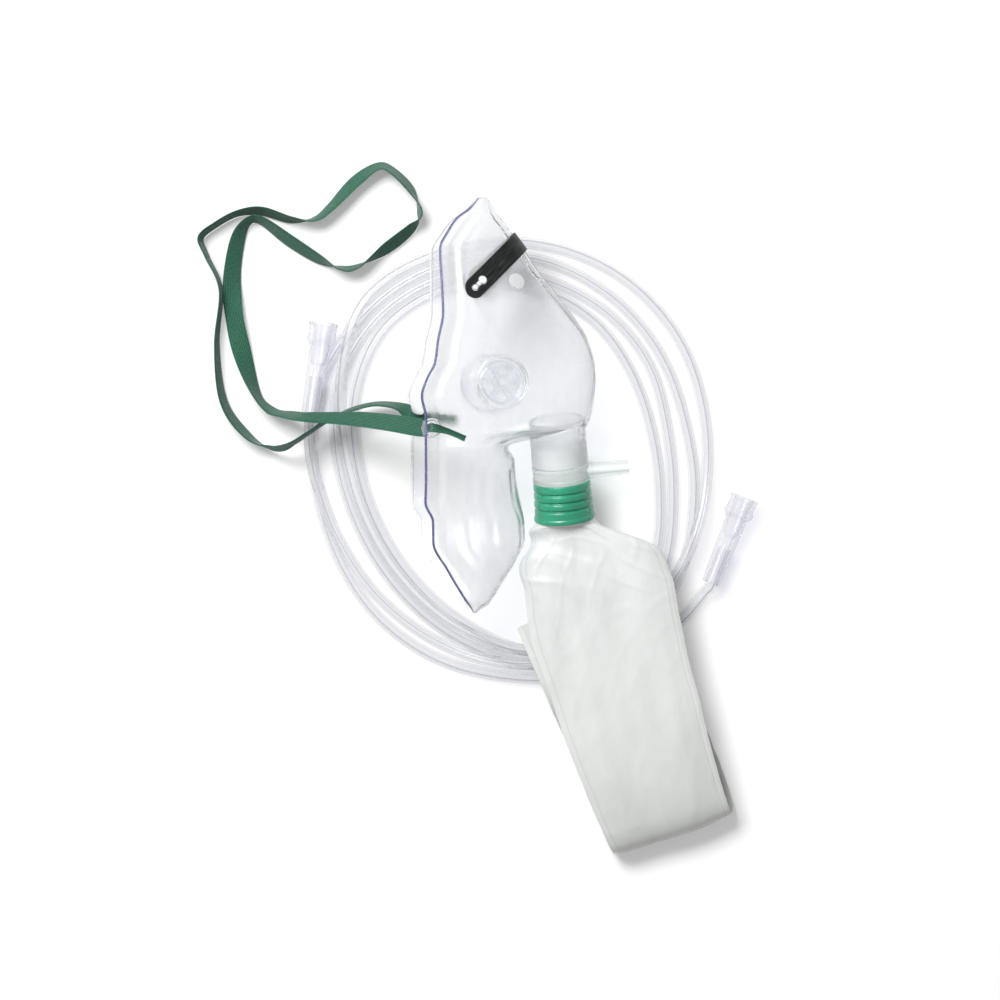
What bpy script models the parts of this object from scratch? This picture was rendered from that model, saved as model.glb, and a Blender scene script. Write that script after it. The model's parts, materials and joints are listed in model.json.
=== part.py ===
"""Oxygen mask with a reservoir bag, its head strap and a coil of oxygen tubing.

The set lies on a table as it is laid out for a picture: the mask on its side with the nose end
towards +Y and its open side towards -X, the folded bag below the port, the tubing in a round coil
under the nose and the bag. Z is up from the table, and everything is in metres.
"""
import functools
import math

import bmesh
import bpy
import numpy as np
from mathutils import Matrix, Vector

MM = 0.001
GAP = 0.3 * MM

# Mask: a thin clear moulding, nose to chin along -Y
MASK_LENGTH = 173.5 * MM
MASK_DEPTH = 72.3 * MM
MASK_WIDTH = 50.0 * MM
MASK_WALL = 1.3 * MM
MASK_ROLL = math.radians(6.5)
NOSE_Y = 136.6 * MM
RIM_X = -62.4 * MM
RIM_FLARE = 2.2 * MM
RIM_FLARE_DEPTH = 7.0 * MM

# Outlines seen from the side: share of the length from the nose, share of the depth from the rim
RIM_EDGE = (
    (0.000, 0.330), (0.028, 0.274), (0.050, 0.203), (0.077, 0.158), (0.125, 0.105), (0.211, 0.116),
    (0.280, 0.122), (0.344, 0.094), (0.399, 0.076), (0.441, 0.026), (0.479, 0.000), (0.528, 0.022),
    (0.687, 0.024), (0.735, 0.021), (0.779, 0.064), (0.832, 0.066), (0.895, 0.145), (0.968, 0.250),
    (1.000, 0.305),
)
FRONT_EDGE = (
    (0.000, 0.380), (0.014, 0.395), (0.082, 0.512), (0.125, 0.588), (0.179, 0.674), (0.234, 0.779),
    (0.288, 0.878), (0.338, 0.953), (0.394, 0.993), (0.435, 1.000), (0.515, 0.976), (0.549, 0.950),
    (0.563, 0.900), (0.588, 0.560), (0.600, 0.492), (0.631, 0.530), (0.682, 0.541), (0.796, 0.588),
    (0.820, 0.588), (0.871, 0.541), (0.936, 0.448), (1.000, 0.355),
)
# Share of the length against share of the half width
SIDE_EDGE = (
    (0.000, 0.20), (0.028, 0.34), (0.077, 0.50), (0.125, 0.62), (0.180, 0.72), (0.234, 0.80),
    (0.340, 0.92), (0.450, 0.99), (0.520, 1.00), (0.700, 0.99), (0.780, 0.91), (0.840, 0.80),
    (0.900, 0.60), (0.950, 0.42), (0.980, 0.30), (1.000, 0.20),
)
# Share of the length against the power of the section's curve: pointed at the nose, full at the mouth
SECTION_POWER = ((0.0, 1.9), (0.12, 1.7), (0.25, 1.8), (0.45, 2.4), (0.75, 2.4), (1.0, 2.0))
SHELF_FROM = 0.540
SHELF_TO = 0.612
ROWS_ABOVE = 17
ROWS_SHELF = 7
ROWS_BELOW = 12
SECTION_STEPS = 22

# Strap holes and their moulded eyelets, one on each side of the rim
EYELET_AT = 0.556
EYELET_IN = 5.2 * MM
EYELET_OD = 8.4 * MM
EYELET_HOLE = 5.0 * MM
EYELET_HEIGHT = 2.6 * MM

# Exhalation valves, one on each cheek
VALVE_AT = 0.445
VALVE_FORWARD = 30.6 * MM
VALVE_OD = 22.7 * MM
VALVE_RING = 1.3 * MM
VALVE_RISE = 2.2 * MM
VALVE_SEAT = 1.2 * MM
VALVE_SKIRT = 3.0 * MM
VALVE_WINDOWS = 6
WINDOW_INNER_R = 3.4 * MM
WINDOW_OUTER_R = 8.2 * MM
WINDOW_ANGLE = math.radians(42)
POST_D = 3.0 * MM
POST_HEAD_D = 4.6 * MM
POST_HEAD = 0.7 * MM
FLAP_THICKNESS = 0.6 * MM
FLAP_MARGIN = 1.1 * MM

# Nose clip, a strip of aluminium bent square over the bridge
CLIP_AT = 0.107
CLIP_LENGTH = 74.0 * MM
CLIP_WIDTH = 8.8 * MM
CLIP_THICKNESS = 0.8 * MM
CLIP_TURN = math.radians(7)
CLIP_LIFT = GAP + 0.1 * MM
CLIP_STEPS = 32
CLIP_SAMPLES = 36
CLIP_RIM_SHARE = 0.08
CLIP_LOWEST = 0.5
KEYHOLE_D = 4.0 * MM
KEYHOLE_SLOT = 3.0 * MM
KEYHOLE_LENGTH = 4.8 * MM
STUD_D = 2.0 * MM
STUD_HEIGHT = 1.8 * MM

# Round gate mark left by the moulding
GATE_AT = 0.203
GATE_FORWARD = 38.0 * MM
GATE_D = 7.0 * MM
GATE_RISE = 0.5 * MM

# Port of the mask, drooping towards the table
PORT_AT = 0.574
PORT_FORWARD = 56.9 * MM
PORT_TURN = math.radians(5.0)
PORT_DROOP = math.radians(14)
PORT_OD = 23.6 * MM
PORT_WALL = 1.4 * MM
PORT_INSIDE = 7.0 * MM
PORT_LENGTH = 12.0 * MM

# Oxygen adaptor: a spigot in the port, a band with the nipple, a spigot for the bag
ADAPTOR_WALL = 1.4 * MM
ADAPTOR_INSERT = 8.0 * MM
BAND_OD = 24.0 * MM
BAND_HEIGHT = 6.9 * MM
BAG_SPIGOT = 15.2 * MM
BAG_SPIGOT_OD = 20.6 * MM
SPIGOT_STEP = 2.0 * MM
SEAT_DEPTH = 2.6 * MM
SEAT_THICKNESS = 1.2 * MM
BAG_WINDOW_INNER_R = 2.8 * MM
NIPPLE_OD = 6.3 * MM
NIPPLE_BORE = 3.0 * MM
NIPPLE_REACH = 28.5 * MM

# Ribbed collar that holds the bag's neck on the adaptor
COLLAR_OD = 24.0 * MM
COLLAR_TAPER = 0.5 * MM
COLLAR_LENGTH = 16.2 * MM
COLLAR_GROOVES = 3
COLLAR_GROOVE = 0.7 * MM
FLANGE_OD = 25.8 * MM
FLANGE_HEIGHT = 2.2 * MM

# Tubing: the coil is a ring that all its turns fit, and each end runs to a connector
TUBE_OD = 5.0 * MM
TUBE_LIFT = 0.1 * MM
COIL_OUTER_X = 86.7 * MM
COIL_OUTER_Y = 93.4 * MM
COIL_INNER_X = 59.6 * MM
COIL_INNER_Y = 73.9 * MM
COIL_CENTRE = Vector((-26.0, 27.4, 0.0)) * MM
HOLLOW_CENTRE = Vector((-28.3, 22.9, 0.0)) * MM
COIL_STEPS = 56
COIL_EDGE = 2.2 * MM

# Free ends of the tubing in millimetres: the left one lies on the coil, the right one runs in beside it
LEFT_MOUTH = Vector((-103.9, 84.5, 0.0)) * MM
LEFT_HEADING = math.radians(-8)
LEFT_RISE = math.radians(5.5)
LEFT_ROUTE = ((-110.1, 40.0, 9.7), (-109.9, 35.5, 9.7))
LEFT_END = Vector((-109.6, 31.0, 0.0)) * MM
RIGHT_MOUTH = Vector((72.7, 11.5, 0.0)) * MM
RIGHT_HEADING = math.radians(-21.5)
RIGHT_ROUTE = ((55.5, -28.0, 3.4), (50.5, -35.5, 2.6), (44.5, -42.0, 2.6), (37.5, -46.6, 2.6))
# Where the right one runs in: angle round the coil, distance off it
RIGHT_JOINS = ((-52.0, 1.3 * MM), (-57.0, 0.3 * MM), (-62.0, 0.1 * MM))

# Connectors: a flared grip, then a body that narrows to the tube's socket
CONNECTOR_LENGTH = 39.0 * MM
CONNECTOR_MOUTH_D = 12.4 * MM
CONNECTOR_GRIP = 8.4 * MM
# Share of the grip's length against how far it lies inside the mouth's size
GRIP_SHAPE = ((0.19, 0.5 * MM), (0.714, 0.5 * MM), (0.833, 0.0), (0.952, 0.0))
CONNECTOR_SHOULDER = 1.2 * MM
CONNECTOR_BODY_D = 9.4 * MM
CONNECTOR_TAIL_D = 7.6 * MM
CONNECTOR_FUNNEL_D = 8.6 * MM
CONNECTOR_THROAT_D = 3.4 * MM
THROAT_STEP = 1.2 * MM
CONNECTOR_SOCKET = 16.0 * MM
TUBE_STRAIGHT = 1.5 * MM
CONNECTOR_FUNNEL = 17.0 * MM

# Head strap: a flat band pinched where it goes through the eyelets
STRAP_WIDTH = 8.0 * MM
STRAP_THICKNESS = 1.0 * MM
STRAP_PINCHED = 3.6 * MM
STRAP_TAIL = 15.0 * MM
NEAR_TAIL_Y = -3.6 * MM
FAR_TAIL_Y = -1.6 * MM
STRAP_LIFT = 2.3 * MM
STRAP_INWARD = 5.5 * MM
# Route in millimetres from the near hole to the far one: x, y, height of the underside, width seen
STRAP_ROUTE = (
    (-74.1, 42.2, 34.3, 7.2), (-87.2, 43.9, 23.4, 6.4), (-98.0, 44.6, 17.4, 5.2),
    (-106.5, 44.8, 15.2, 4.6), (-113.0, 45.2, 14.6, 4.0), (-119.0, 46.2, 7.0, 3.8),
    (-125.8, 47.7, 0.8, 3.8), (-131.7, 53.6, 0.5, 3.4), (-137.1, 67.8, 0.5, 7.0),
    (-141.3, 85.9, 0.5, 7.6), (-142.6, 102.7, 0.5, 7.4), (-140.1, 119.5, 0.5, 6.0),
    (-135.9, 127.1, 0.5, 3.4), (-130.0, 127.5, 0.5, 3.4), (-118.2, 119.1, 0.5, 4.8),
    (-105.6, 111.1, 0.5, 3.6), (-97.2, 107.7, 0.5, 1.7), (-90.1, 108.2, 0.5, 1.9),
    (-77.9, 115.7, 0.5, 4.4), (-67.0, 124.5, 0.5, 3.6), (-63.6, 130.8, 0.5, 2.2),
    (-67.4, 140.5, 0.5, 3.0), (-75.4, 148.5, 0.5, 3.2), (-81.3, 150.2, 0.5, 3.4),
    (-90.9, 143.8, 0.5, 5.0), (-101.0, 133.4, 0.5, 3.6), (-107.7, 128.3, 0.5, 2.0),
    (-117.4, 127.9, 0.5, 2.6), (-130.0, 131.5, 0.5, 3.6), (-140.1, 130.6, 0.5, 2.4),
    (-149.3, 125.8, 0.5, 2.2), (-155.6, 120.3, 0.5, 2.4), (-153.1, 112.8, 0.5, 1.7),
    (-147.2, 98.5, 0.5, 1.3), (-148.9, 75.4, 0.5, 2.0), (-145.9, 51.5, 0.5, 3.2),
    (-135.9, 37.2, 0.5, 3.2), (-125.5, 31.9, 2.0, 1.6), (-117.5, 33.8, 9.6, 1.3),
    (-110.0, 38.4, 13.2, 1.3), (-102.0, 43.8, 9.2, 1.3), (-93.0, 48.0, 6.0, 1.3),
    (-82.0, 50.6, 5.0, 1.8), (-71.5, 49.2, 4.9, 4.0),
)

# Reservoir bag: film folded lengthways and back on itself, neck first
BAG_GATHER_D = 23.4 * MM
BAG_GATHER = 3.2 * MM
# Where the bag's neck starts when its stations are as listed, in millimetres
BAG_NECK = Vector((-3.4, -0.4, 14.5))
# Stations of the bag in millimetres: middle x, y, z, half width, half thickness, turn in degrees, roundness
BAG_UPPER = (
    (1.2, -8.6, 14.4, 19.0, 7.0, 8, 2.2),
    (9.3, -14.6, 16.4, 27.0, 5.0, 13, 2.6),
    (10.5, -23.8, 17.4, 31.5, 4.6, 13, 3.0),
    (12.5, -40.0, 17.7, 31.8, 3.8, 14, 3.2),
    (18.0, -62.0, 17.4, 30.5, 3.3, 15, 3.4),
    (27.0, -92.0, 16.8, 29.0, 3.0, 16, 3.4),
    (36.0, -118.0, 15.6, 27.2, 2.8, 17, 3.4),
)
BAG_FOLD = (
    (40.4, -129.0, 13.6, 26.4, 2.2, 18, 3.4),
    (41.8, -132.2, 8.6, 26.4, 1.8, 19, 3.4),
    (40.6, -128.8, 3.4, 27.0, 1.6, 20, 3.4),
)
BAG_LOWER = (
    (31.0, -104.0, 2.0, 27.8, 1.3, 22, 3.4),
    (22.0, -82.0, 3.6, 27.8, 1.2, 23, 3.4),
    (15.5, -67.0, 10.8, 27.9, 1.2, 23.5, 3.4),
    (9.5, -53.0, 12.3, 28.0, 1.2, 24, 3.4),
    (1.9, -34.8, 12.3, 28.2, 1.2, 24, 3.4),
)
BAG_AROUND = 20

SMOOTH_ANGLE = math.radians(35)
ROUND_STEPS = 32
# How far a cutter runs past what it cuts
CUT_PAST = 5.0 * MM


def clear_scene():
    for thing in list(bpy.context.scene.objects):
        bpy.data.objects.remove(thing, do_unlink=True)


def plastic(name, colour, roughness, alpha=1.0, metallic=0.0):
    material = bpy.data.materials.new(name)
    material.use_nodes = True
    shader = material.node_tree.nodes["Principled BSDF"]
    shader.inputs["Base Color"].default_value = (*colour, 1.0)
    shader.inputs["Roughness"].default_value = roughness
    shader.inputs["Metallic"].default_value = metallic
    shader.inputs["Alpha"].default_value = alpha
    return material


def add_object(name, mesh_maker, material=None):
    """Makes an object from a bmesh that mesh_maker fills."""
    mesh = bpy.data.meshes.new(name)
    shape = bmesh.new()
    mesh_maker(shape)
    bmesh.ops.recalc_face_normals(shape, faces=shape.faces)
    shape.to_mesh(mesh)
    shape.free()
    mesh.shade_smooth()
    mesh.set_sharp_from_angle(angle=SMOOTH_ANGLE)
    thing = bpy.data.objects.new(name, mesh)
    bpy.context.scene.collection.objects.link(thing)
    if material:
        mesh.materials.append(material)
    return thing


def as_guide(thing):
    thing.hide_render = True
    thing.display_type = "WIRE"
    return thing


def boolean(thing, operation, operand):
    modifier = thing.modifiers.new(operand.name, "BOOLEAN")
    modifier.operation = operation
    modifier.solver = "EXACT"
    modifier.object = as_guide(operand)


def turned(name, profile, frame, steps, material=None):
    """A closed profile of (radius, height) points spun about the frame's Z axis."""
    def fill(shape):
        first = [shape.verts.new(frame @ Vector((r, 0.0, h))) for r, h in profile]
        edges = [shape.edges.new((a, b)) for a, b in zip(first, first[1:] + first[:1])]
        bmesh.ops.spin(
            shape,
            geom=first + edges,
            cent=frame.translation,
            axis=frame.col[2].xyz.normalized(),
            angle=2 * math.pi,
            steps=steps,
            use_merge=True,
        )
        bmesh.ops.remove_doubles(shape, verts=shape.verts, dist=0.001 * MM)
        bmesh.ops.dissolve_degenerate(shape, edges=shape.edges, dist=0.001 * MM)

    return add_object(name, fill, material)


def lofted(name, rings, material=None):
    """A closed solid through rings of points, with a flat cap at each end."""
    def fill(shape):
        loops = [[shape.verts.new(point) for point in ring] for ring in rings]
        for one, two in zip(loops, loops[1:]):
            for i in range(len(one)):
                shape.faces.new((one[i - 1], one[i], two[i], two[i - 1]))
        shape.faces.new(loops[0])
        shape.faces.new(reversed(loops[-1]))

    return add_object(name, fill, material)


def cylinder(name, frame, radius, low, high, steps=24):
    profile = [(0.0, low), (radius, low), (radius, high), (0.0, high)]
    return turned(name, profile, frame, steps)


def eased(points, at):
    """Reads a smooth curve through (place, value) points, without overshoot between them."""
    places = [p for p, _ in points]
    values = [v for _, v in points]
    at = min(max(at, places[0]), places[-1])
    i = min(max(np.searchsorted(places, at) - 1, 0), len(places) - 2)
    slopes = [(values[k + 1] - values[k]) / (places[k + 1] - places[k]) for k in range(len(places) - 1)]

    def tangent(k):
        if k == 0 or k == len(places) - 1:
            return slopes[0] if k == 0 else slopes[-1]
        before, after = slopes[k - 1], slopes[k]
        return 0.0 if before * after <= 0 else 2 * before * after / (before + after)

    span = places[i + 1] - places[i]
    s = (at - places[i]) / span
    return (
        values[i] * (1 + 2 * s) * (1 - s) ** 2
        + tangent(i) * span * s * (1 - s) ** 2
        + values[i + 1] * s * s * (3 - 2 * s)
        - tangent(i + 1) * span * s * s * (1 - s)
    )


def smooth_route(points, per_stretch):
    """Points along a Catmull-Rom curve through tuples of any length."""
    points = [np.array(p, float) for p in points]
    ends = [2 * points[0] - points[1]] + points + [2 * points[-1] - points[-2]]
    route = []
    for k in range(1, len(ends) - 2):
        a, b, c, d = ends[k - 1:k + 3]
        for step in range(per_stretch):
            s = step / per_stretch
            route.append(
                0.5 * (2 * b + (c - a) * s + (2 * a - 5 * b + 4 * c - d) * s ** 2
                       + (3 * b - a - 3 * c + d) * s ** 3)
            )
    route.append(points[-1])
    return route


def half_section(at):
    """Forward and sideways distances of the mask's outer wall, from the rim's edge to the front."""
    half_width = 0.5 * MASK_WIDTH * eased(SIDE_EDGE, at)
    rim = MASK_DEPTH * eased(RIM_EDGE, at) - half_width * math.sin(MASK_ROLL)
    depth = MASK_DEPTH * eased(FRONT_EDGE, at) / math.cos(MASK_ROLL) - rim
    flare_depth = min(RIM_FLARE_DEPTH, 0.4 * depth)
    flare = RIM_FLARE * 2 * half_width / MASK_WIDTH
    turns = np.linspace(0.0, math.pi / 2, 61)
    bend = 2 / eased(SECTION_POWER, at)
    forward = depth * np.sin(turns) ** bend
    sideways = half_width * np.clip(np.cos(turns), 0, 1) ** bend
    sideways = sideways + flare * np.clip(1 - forward / flare_depth, 0, 1) ** 2
    return rim + forward, sideways


@functools.cache
def middle_height():
    """Height of the mask's middle plane at the rim, when the lower valve lies on the table."""
    forward, sideways = half_section(VALVE_AT)
    side, ahead = np.interp([VALVE_FORWARD, VALVE_FORWARD + MM], forward, sideways)
    tilt = abs(math.atan((side - ahead) / MM) - MASK_ROLL)
    reach = VALVE_RISE * math.cos(tilt) + VALVE_OD / 2 * math.sin(tilt)
    return side * math.cos(MASK_ROLL) + VALVE_FORWARD * math.sin(MASK_ROLL) + reach


def place(at, forward, sideways):
    """World point for a share of the mask's length and distances forward and to the upper side."""
    x = RIM_X + forward * math.cos(MASK_ROLL) + sideways * math.sin(MASK_ROLL)
    y = NOSE_Y - at * MASK_LENGTH
    z = middle_height() - forward * math.sin(MASK_ROLL) + sideways * math.cos(MASK_ROLL)
    return Vector((x, y, z))


def wall_point(at, forward, side):
    ahead, sideways = half_section(at)
    return place(at, forward, side * np.interp(forward, ahead, sideways))


def outward_frame(origin, along, across, side):
    """A frame with Z out of the wall, X along the mask's length."""
    out = along.cross(across).normalized()
    if out.z * side < 0:
        out = -out
    x_axis = (along - out * along.dot(out)).normalized()
    rotation = Matrix((x_axis, out.cross(x_axis), out)).transposed().to_4x4()
    return Matrix.Translation(origin) @ rotation


def wall_frame(at, forward, side):
    step_at = 0.5 * MM / MASK_LENGTH
    step = 0.5 * MM
    along = wall_point(at + step_at, forward, side) - wall_point(at - step_at, forward, side)
    across = wall_point(at, forward + step, side) - wall_point(at, forward - step, side)
    return outward_frame(wall_point(at, forward, side), along, across, side)


def section_arc(at):
    """The whole outer section from the upper rim over the front to the lower rim, with its arc."""
    forward, sideways = half_section(at)
    points = [place(at, f, s) for f, s in zip(forward, sideways)]
    points += [place(at, f, -s) for f, s in zip(forward[-2::-1], sideways[-2::-1])]
    arc = [0.0]
    for a, b in zip(points, points[1:]):
        arc.append(arc[-1] + (b - a).length)
    return np.array([p[:] for p in points]), np.array(arc)


def mask_rows():
    above = np.linspace(0.0, SHELF_FROM, ROWS_ABOVE)
    shelf = np.linspace(SHELF_FROM, SHELF_TO, ROWS_SHELF + 2)[1:-1]
    below = np.linspace(SHELF_TO, 1.0, ROWS_BELOW)
    rows = []
    for at in [*above, *shelf, *below]:
        points, arc = section_arc(at)
        places = np.linspace(0.0, arc[-1], SECTION_STEPS + 1)
        rows.append([Vector([np.interp(p, arc, points[:, k]) for k in range(3)]) for p in places])
    return rows


def port_frame():
    """Frame at the root of the port, Z along the port away from the mask, X level to the right."""
    ahead = PORT_FORWARD
    root = place(PORT_AT, ahead, 0.0)
    level = Vector((math.cos(PORT_TURN), math.sin(PORT_TURN), 0.0))
    axis = Vector((math.sin(PORT_TURN), -math.cos(PORT_TURN), 0.0)) * math.cos(PORT_DROOP)
    axis.z = -math.sin(PORT_DROOP)
    rotation = Matrix((level, axis.cross(level), axis)).transposed().to_4x4()
    return Matrix.Translation(root) @ rotation


def post_profile(seat_top, flap_top):
    """Outline of a valve's post above its seat, from the seat to the middle of its head."""
    head_low = flap_top + GAP
    return [
        (POST_D / 2, seat_top),
        (POST_D / 2, head_low),
        (POST_HEAD_D / 2, head_low),
        (POST_HEAD_D / 2, head_low + POST_HEAD),
        (0.0, head_low + POST_HEAD),
    ]


def window_cutters(name, frame, low, high, inner, outer):
    """Sectors cut through a valve's seat, around its post."""
    def fill(shape):
        for k in range(VALVE_WINDOWS):
            middle = 2 * math.pi * k / VALVE_WINDOWS
            corners = []
            for radius, turns in ((inner, (-0.5, 0.5)), (outer, (0.5, 0.17, -0.17, -0.5))):
                spread = WINDOW_ANGLE * (0.75 if radius == inner else 1.0)
                corners += [(radius, middle + turn * spread) for turn in turns]
            loops = []
            for height in (low, high):
                ring = [Vector((r * math.cos(a), r * math.sin(a), height)) for r, a in corners]
                loops.append([shape.verts.new(frame @ point) for point in ring])
            for i in range(len(corners)):
                shape.faces.new((loops[0][i - 1], loops[0][i], loops[1][i], loops[1][i - 1]))
            shape.faces.new(loops[0])
            shape.faces.new(reversed(loops[1]))

    return add_object(name, fill)


def flap(name, frame, low, radius, material):
    hole = POST_D / 2 + GAP
    profile = [(hole, low), (radius, low), (radius, low + FLAP_THICKNESS), (hole, low + FLAP_THICKNESS)]
    return turned(name, profile, frame, 28, material)


def make_valve(shell, side, tag, silicone):
    """Ring, slotted seat and post moulded in the wall, with the silicone flap on the post."""
    frame = wall_frame(VALVE_AT, VALVE_FORWARD, side)
    outer = VALVE_OD / 2
    inner = outer - VALVE_RING
    middle = (outer + inner) / 2
    hole = cylinder(f"hole_valve_{tag}", frame, middle, -2 * VALVE_SKIRT, 2 * VALVE_SKIRT, ROUND_STEPS)
    boolean(shell, "DIFFERENCE", hole)
    profile = [
        (0.0, -VALVE_SEAT), (inner, -VALVE_SEAT), (inner, -VALVE_SKIRT), (outer, -VALVE_SKIRT),
        (outer, VALVE_RISE), (inner, VALVE_RISE), (inner, 0.0),
    ]
    profile += post_profile(0.0, GAP + FLAP_THICKNESS)
    ring = turned(f"ring_valve_{tag}", profile, frame, ROUND_STEPS)
    windows = window_cutters(
        f"windows_valve_{tag}", frame, -VALVE_SEAT - MM, GAP / 2, WINDOW_INNER_R, WINDOW_OUTER_R
    )
    boolean(ring, "DIFFERENCE", windows)
    boolean(shell, "UNION", ring)
    flap(f"exhalation_flap_{tag}", frame, GAP, inner - FLAP_MARGIN, silicone)


def eyelet_frame(side):
    forward, _ = half_section(EYELET_AT)
    return wall_frame(EYELET_AT, forward[0] + EYELET_IN, side)


def make_eyelet(shell, side, tag):
    frame = eyelet_frame(side)
    middle = (EYELET_OD + EYELET_HOLE) / 4
    hole = cylinder(f"hole_strap_{tag}", frame, middle, -CUT_PAST, CUT_PAST)
    boolean(shell, "DIFFERENCE", hole)
    low = -(MASK_WALL + EYELET_HEIGHT) / 2
    high = low + EYELET_HEIGHT
    profile = [
        (EYELET_HOLE / 2, low), (EYELET_OD / 2, low), (EYELET_OD / 2, high), (EYELET_HOLE / 2, high),
    ]
    boolean(shell, "UNION", turned(f"eyelet_{tag}", profile, frame, 24))


def front_point(at):
    forward, _ = half_section(at)
    return place(at, forward[-1], 0.0)


def clip_plane():
    """A point of the bridge under the strip's middle and the direction down the bridge there."""
    step = 2.0 * MM / MASK_LENGTH
    down = front_point(CLIP_AT + step) - front_point(CLIP_AT - step)
    return front_point(CLIP_AT), Matrix.Rotation(CLIP_TURN, 3, "Z") @ down.normalized()


@functools.cache
def clip_curve(across):
    """Outer wall cut by a plane square to the bridge: arc from the bridge, and points, upper side first."""
    middle, down = clip_plane()
    halves = {}
    for side in (1, -1):
        points = []
        for share in np.linspace(1.0, CLIP_RIM_SHARE, CLIP_SAMPLES):
            low, high = 0.0, CLIP_LOWEST
            for _ in range(24):
                at = (low + high) / 2
                forward, sideways = half_section(at)
                index = share * (len(forward) - 1)
                ahead = np.interp(index, range(len(forward)), forward)
                aside = np.interp(index, range(len(forward)), sideways)
                point = place(at, ahead, side * aside)
                if (point - middle).dot(down) < across:
                    low = at
                else:
                    high = at
            points.append(point)
        halves[side] = points
    points = halves[-1][:0:-1] + halves[1]
    arc = np.concatenate(([0.0], np.cumsum([(b - a).length for a, b in zip(points, points[1:])])))
    return arc - arc[len(halves[-1]) - 1], np.array([p[:] for p in points])


def clip_wall(along, across):
    arc, points = clip_curve(round(across, 7))
    return Vector([np.interp(along, arc, points[:, k]) for k in range(3)])


def clip_frame(along, across, side):
    """Frame on the wall under the strip, Z out of the wall."""
    step = 0.5 * MM
    one = clip_wall(along + step, across) - clip_wall(along - step, across)
    two = clip_wall(along, across + step) - clip_wall(along, across - step)
    out = one.cross(two).normalized()
    middle, _ = clip_plane()
    if out.dot(clip_wall(along, across) - middle + Vector((20 * MM, 0.0, 0.0))) < 0:
        out = -out
    x_axis = one.normalized() * side
    rotation = Matrix((x_axis, out.cross(x_axis), out)).transposed().to_4x4()
    return Matrix.Translation(clip_wall(along, across)) @ rotation


def make_clip(shell, metal):
    half = CLIP_LENGTH / 2
    radius = CLIP_WIDTH / 2
    levels = (CLIP_LIFT, CLIP_LIFT + CLIP_THICKNESS)

    def fill(shape):
        grid = []
        for along in np.linspace(-half, half, CLIP_STEPS + 1):
            past = min(max(0.0, abs(along) - (half - radius)), 0.96 * radius)
            width = math.sqrt(radius ** 2 - past ** 2)
            frames = [clip_frame(along, width * k / 2, 1) for k in range(-2, 3)]
            grid.append([[shape.verts.new(f @ Vector((0.0, 0.0, h))) for f in frames] for h in levels])
        last = len(grid[0][0]) - 1
        for one, two in zip(grid, grid[1:]):
            for level in (0, 1):
                for k in range(last):
                    shape.faces.new((one[level][k], one[level][k + 1], two[level][k + 1], two[level][k]))
            for k in (0, last):
                shape.faces.new((one[0][k], one[1][k], two[1][k], two[0][k]))
        for end in (grid[0], grid[-1]):
            for k in range(last):
                shape.faces.new((end[0][k], end[0][k + 1], end[1][k + 1], end[1][k]))

    clip = add_object("nose_clip", fill, metal)
    for side, tag in ((1, "near"), (-1, "far")):
        make_keyhole(clip, side, tag, half - radius)
        stud_frame = clip_frame(side * (half - radius - 0.3 * MM), 0.0, side)
        stud = cylinder(f"stud_{tag}", stud_frame, STUD_D / 2, -0.8 * MASK_WALL, STUD_HEIGHT, 16)
        boolean(shell, "UNION", stud)


def make_keyhole(clip, side, tag, end):
    """A round hole that runs out into a slot towards the strip's end."""
    reach = CUT_PAST / 2
    for along, diameter, part in ((end - KEYHOLE_LENGTH, KEYHOLE_D, "hole"), (end, KEYHOLE_SLOT, "end")):
        frame = clip_frame(side * along, 0.0, side)
        hole = cylinder(f"keyhole_{part}_{tag}", frame, diameter / 2, -reach, reach, 20)
        boolean(clip, "DIFFERENCE", hole)
    middle = clip_frame(side * (end - KEYHOLE_LENGTH / 2), 0.0, side)

    def fill(shape):
        size = Matrix.Diagonal((KEYHOLE_LENGTH, KEYHOLE_SLOT, 2 * reach, 1.0))
        bmesh.ops.create_cube(shape, size=1.0, matrix=middle @ size)

    boolean(clip, "DIFFERENCE", add_object(f"keyhole_slot_{tag}", fill))


def make_mask(clear):
    rows = mask_rows()

    def fill(shape):
        grid = [[shape.verts.new(point) for point in row] for row in rows]
        for one, two in zip(grid, grid[1:]):
            for k in range(SECTION_STEPS):
                shape.faces.new((one[k], one[k + 1], two[k + 1], two[k]))

    shell = add_object("mask_shell", fill, clear)
    wall = shell.modifiers.new("wall", "SOLIDIFY")
    wall.thickness = MASK_WALL
    wall.offset = solidify_side(shell)
    wall.use_even_offset = True
    return shell


def solidify_side(shell):
    """-1 or 1, whichever grows the wall to the inside of the mask."""
    polygon = max(shell.data.polygons, key=lambda face: face.center.x)
    return -1.0 if polygon.normal.x > 0 else 1.0


def make_port(shell):
    frame = port_frame()
    outer = PORT_OD / 2
    inner = outer - PORT_WALL
    middle = (outer + inner) / 2
    passage = cylinder("passage_port", frame, middle, -PORT_INSIDE - CUT_PAST, PORT_LENGTH, ROUND_STEPS)
    boolean(shell, "DIFFERENCE", passage)
    low, high = -PORT_INSIDE, PORT_LENGTH
    profile = [(inner, low), (outer, low), (outer, high), (inner, high)]
    boolean(shell, "UNION", turned("tube_port", profile, frame, ROUND_STEPS))


def make_gate(shell):
    frame = wall_frame(GATE_AT, GATE_FORWARD, 1)
    boolean(shell, "UNION", cylinder("gate_mark", frame, GATE_D / 2, -0.7 * MASK_WALL, GATE_RISE))


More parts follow.
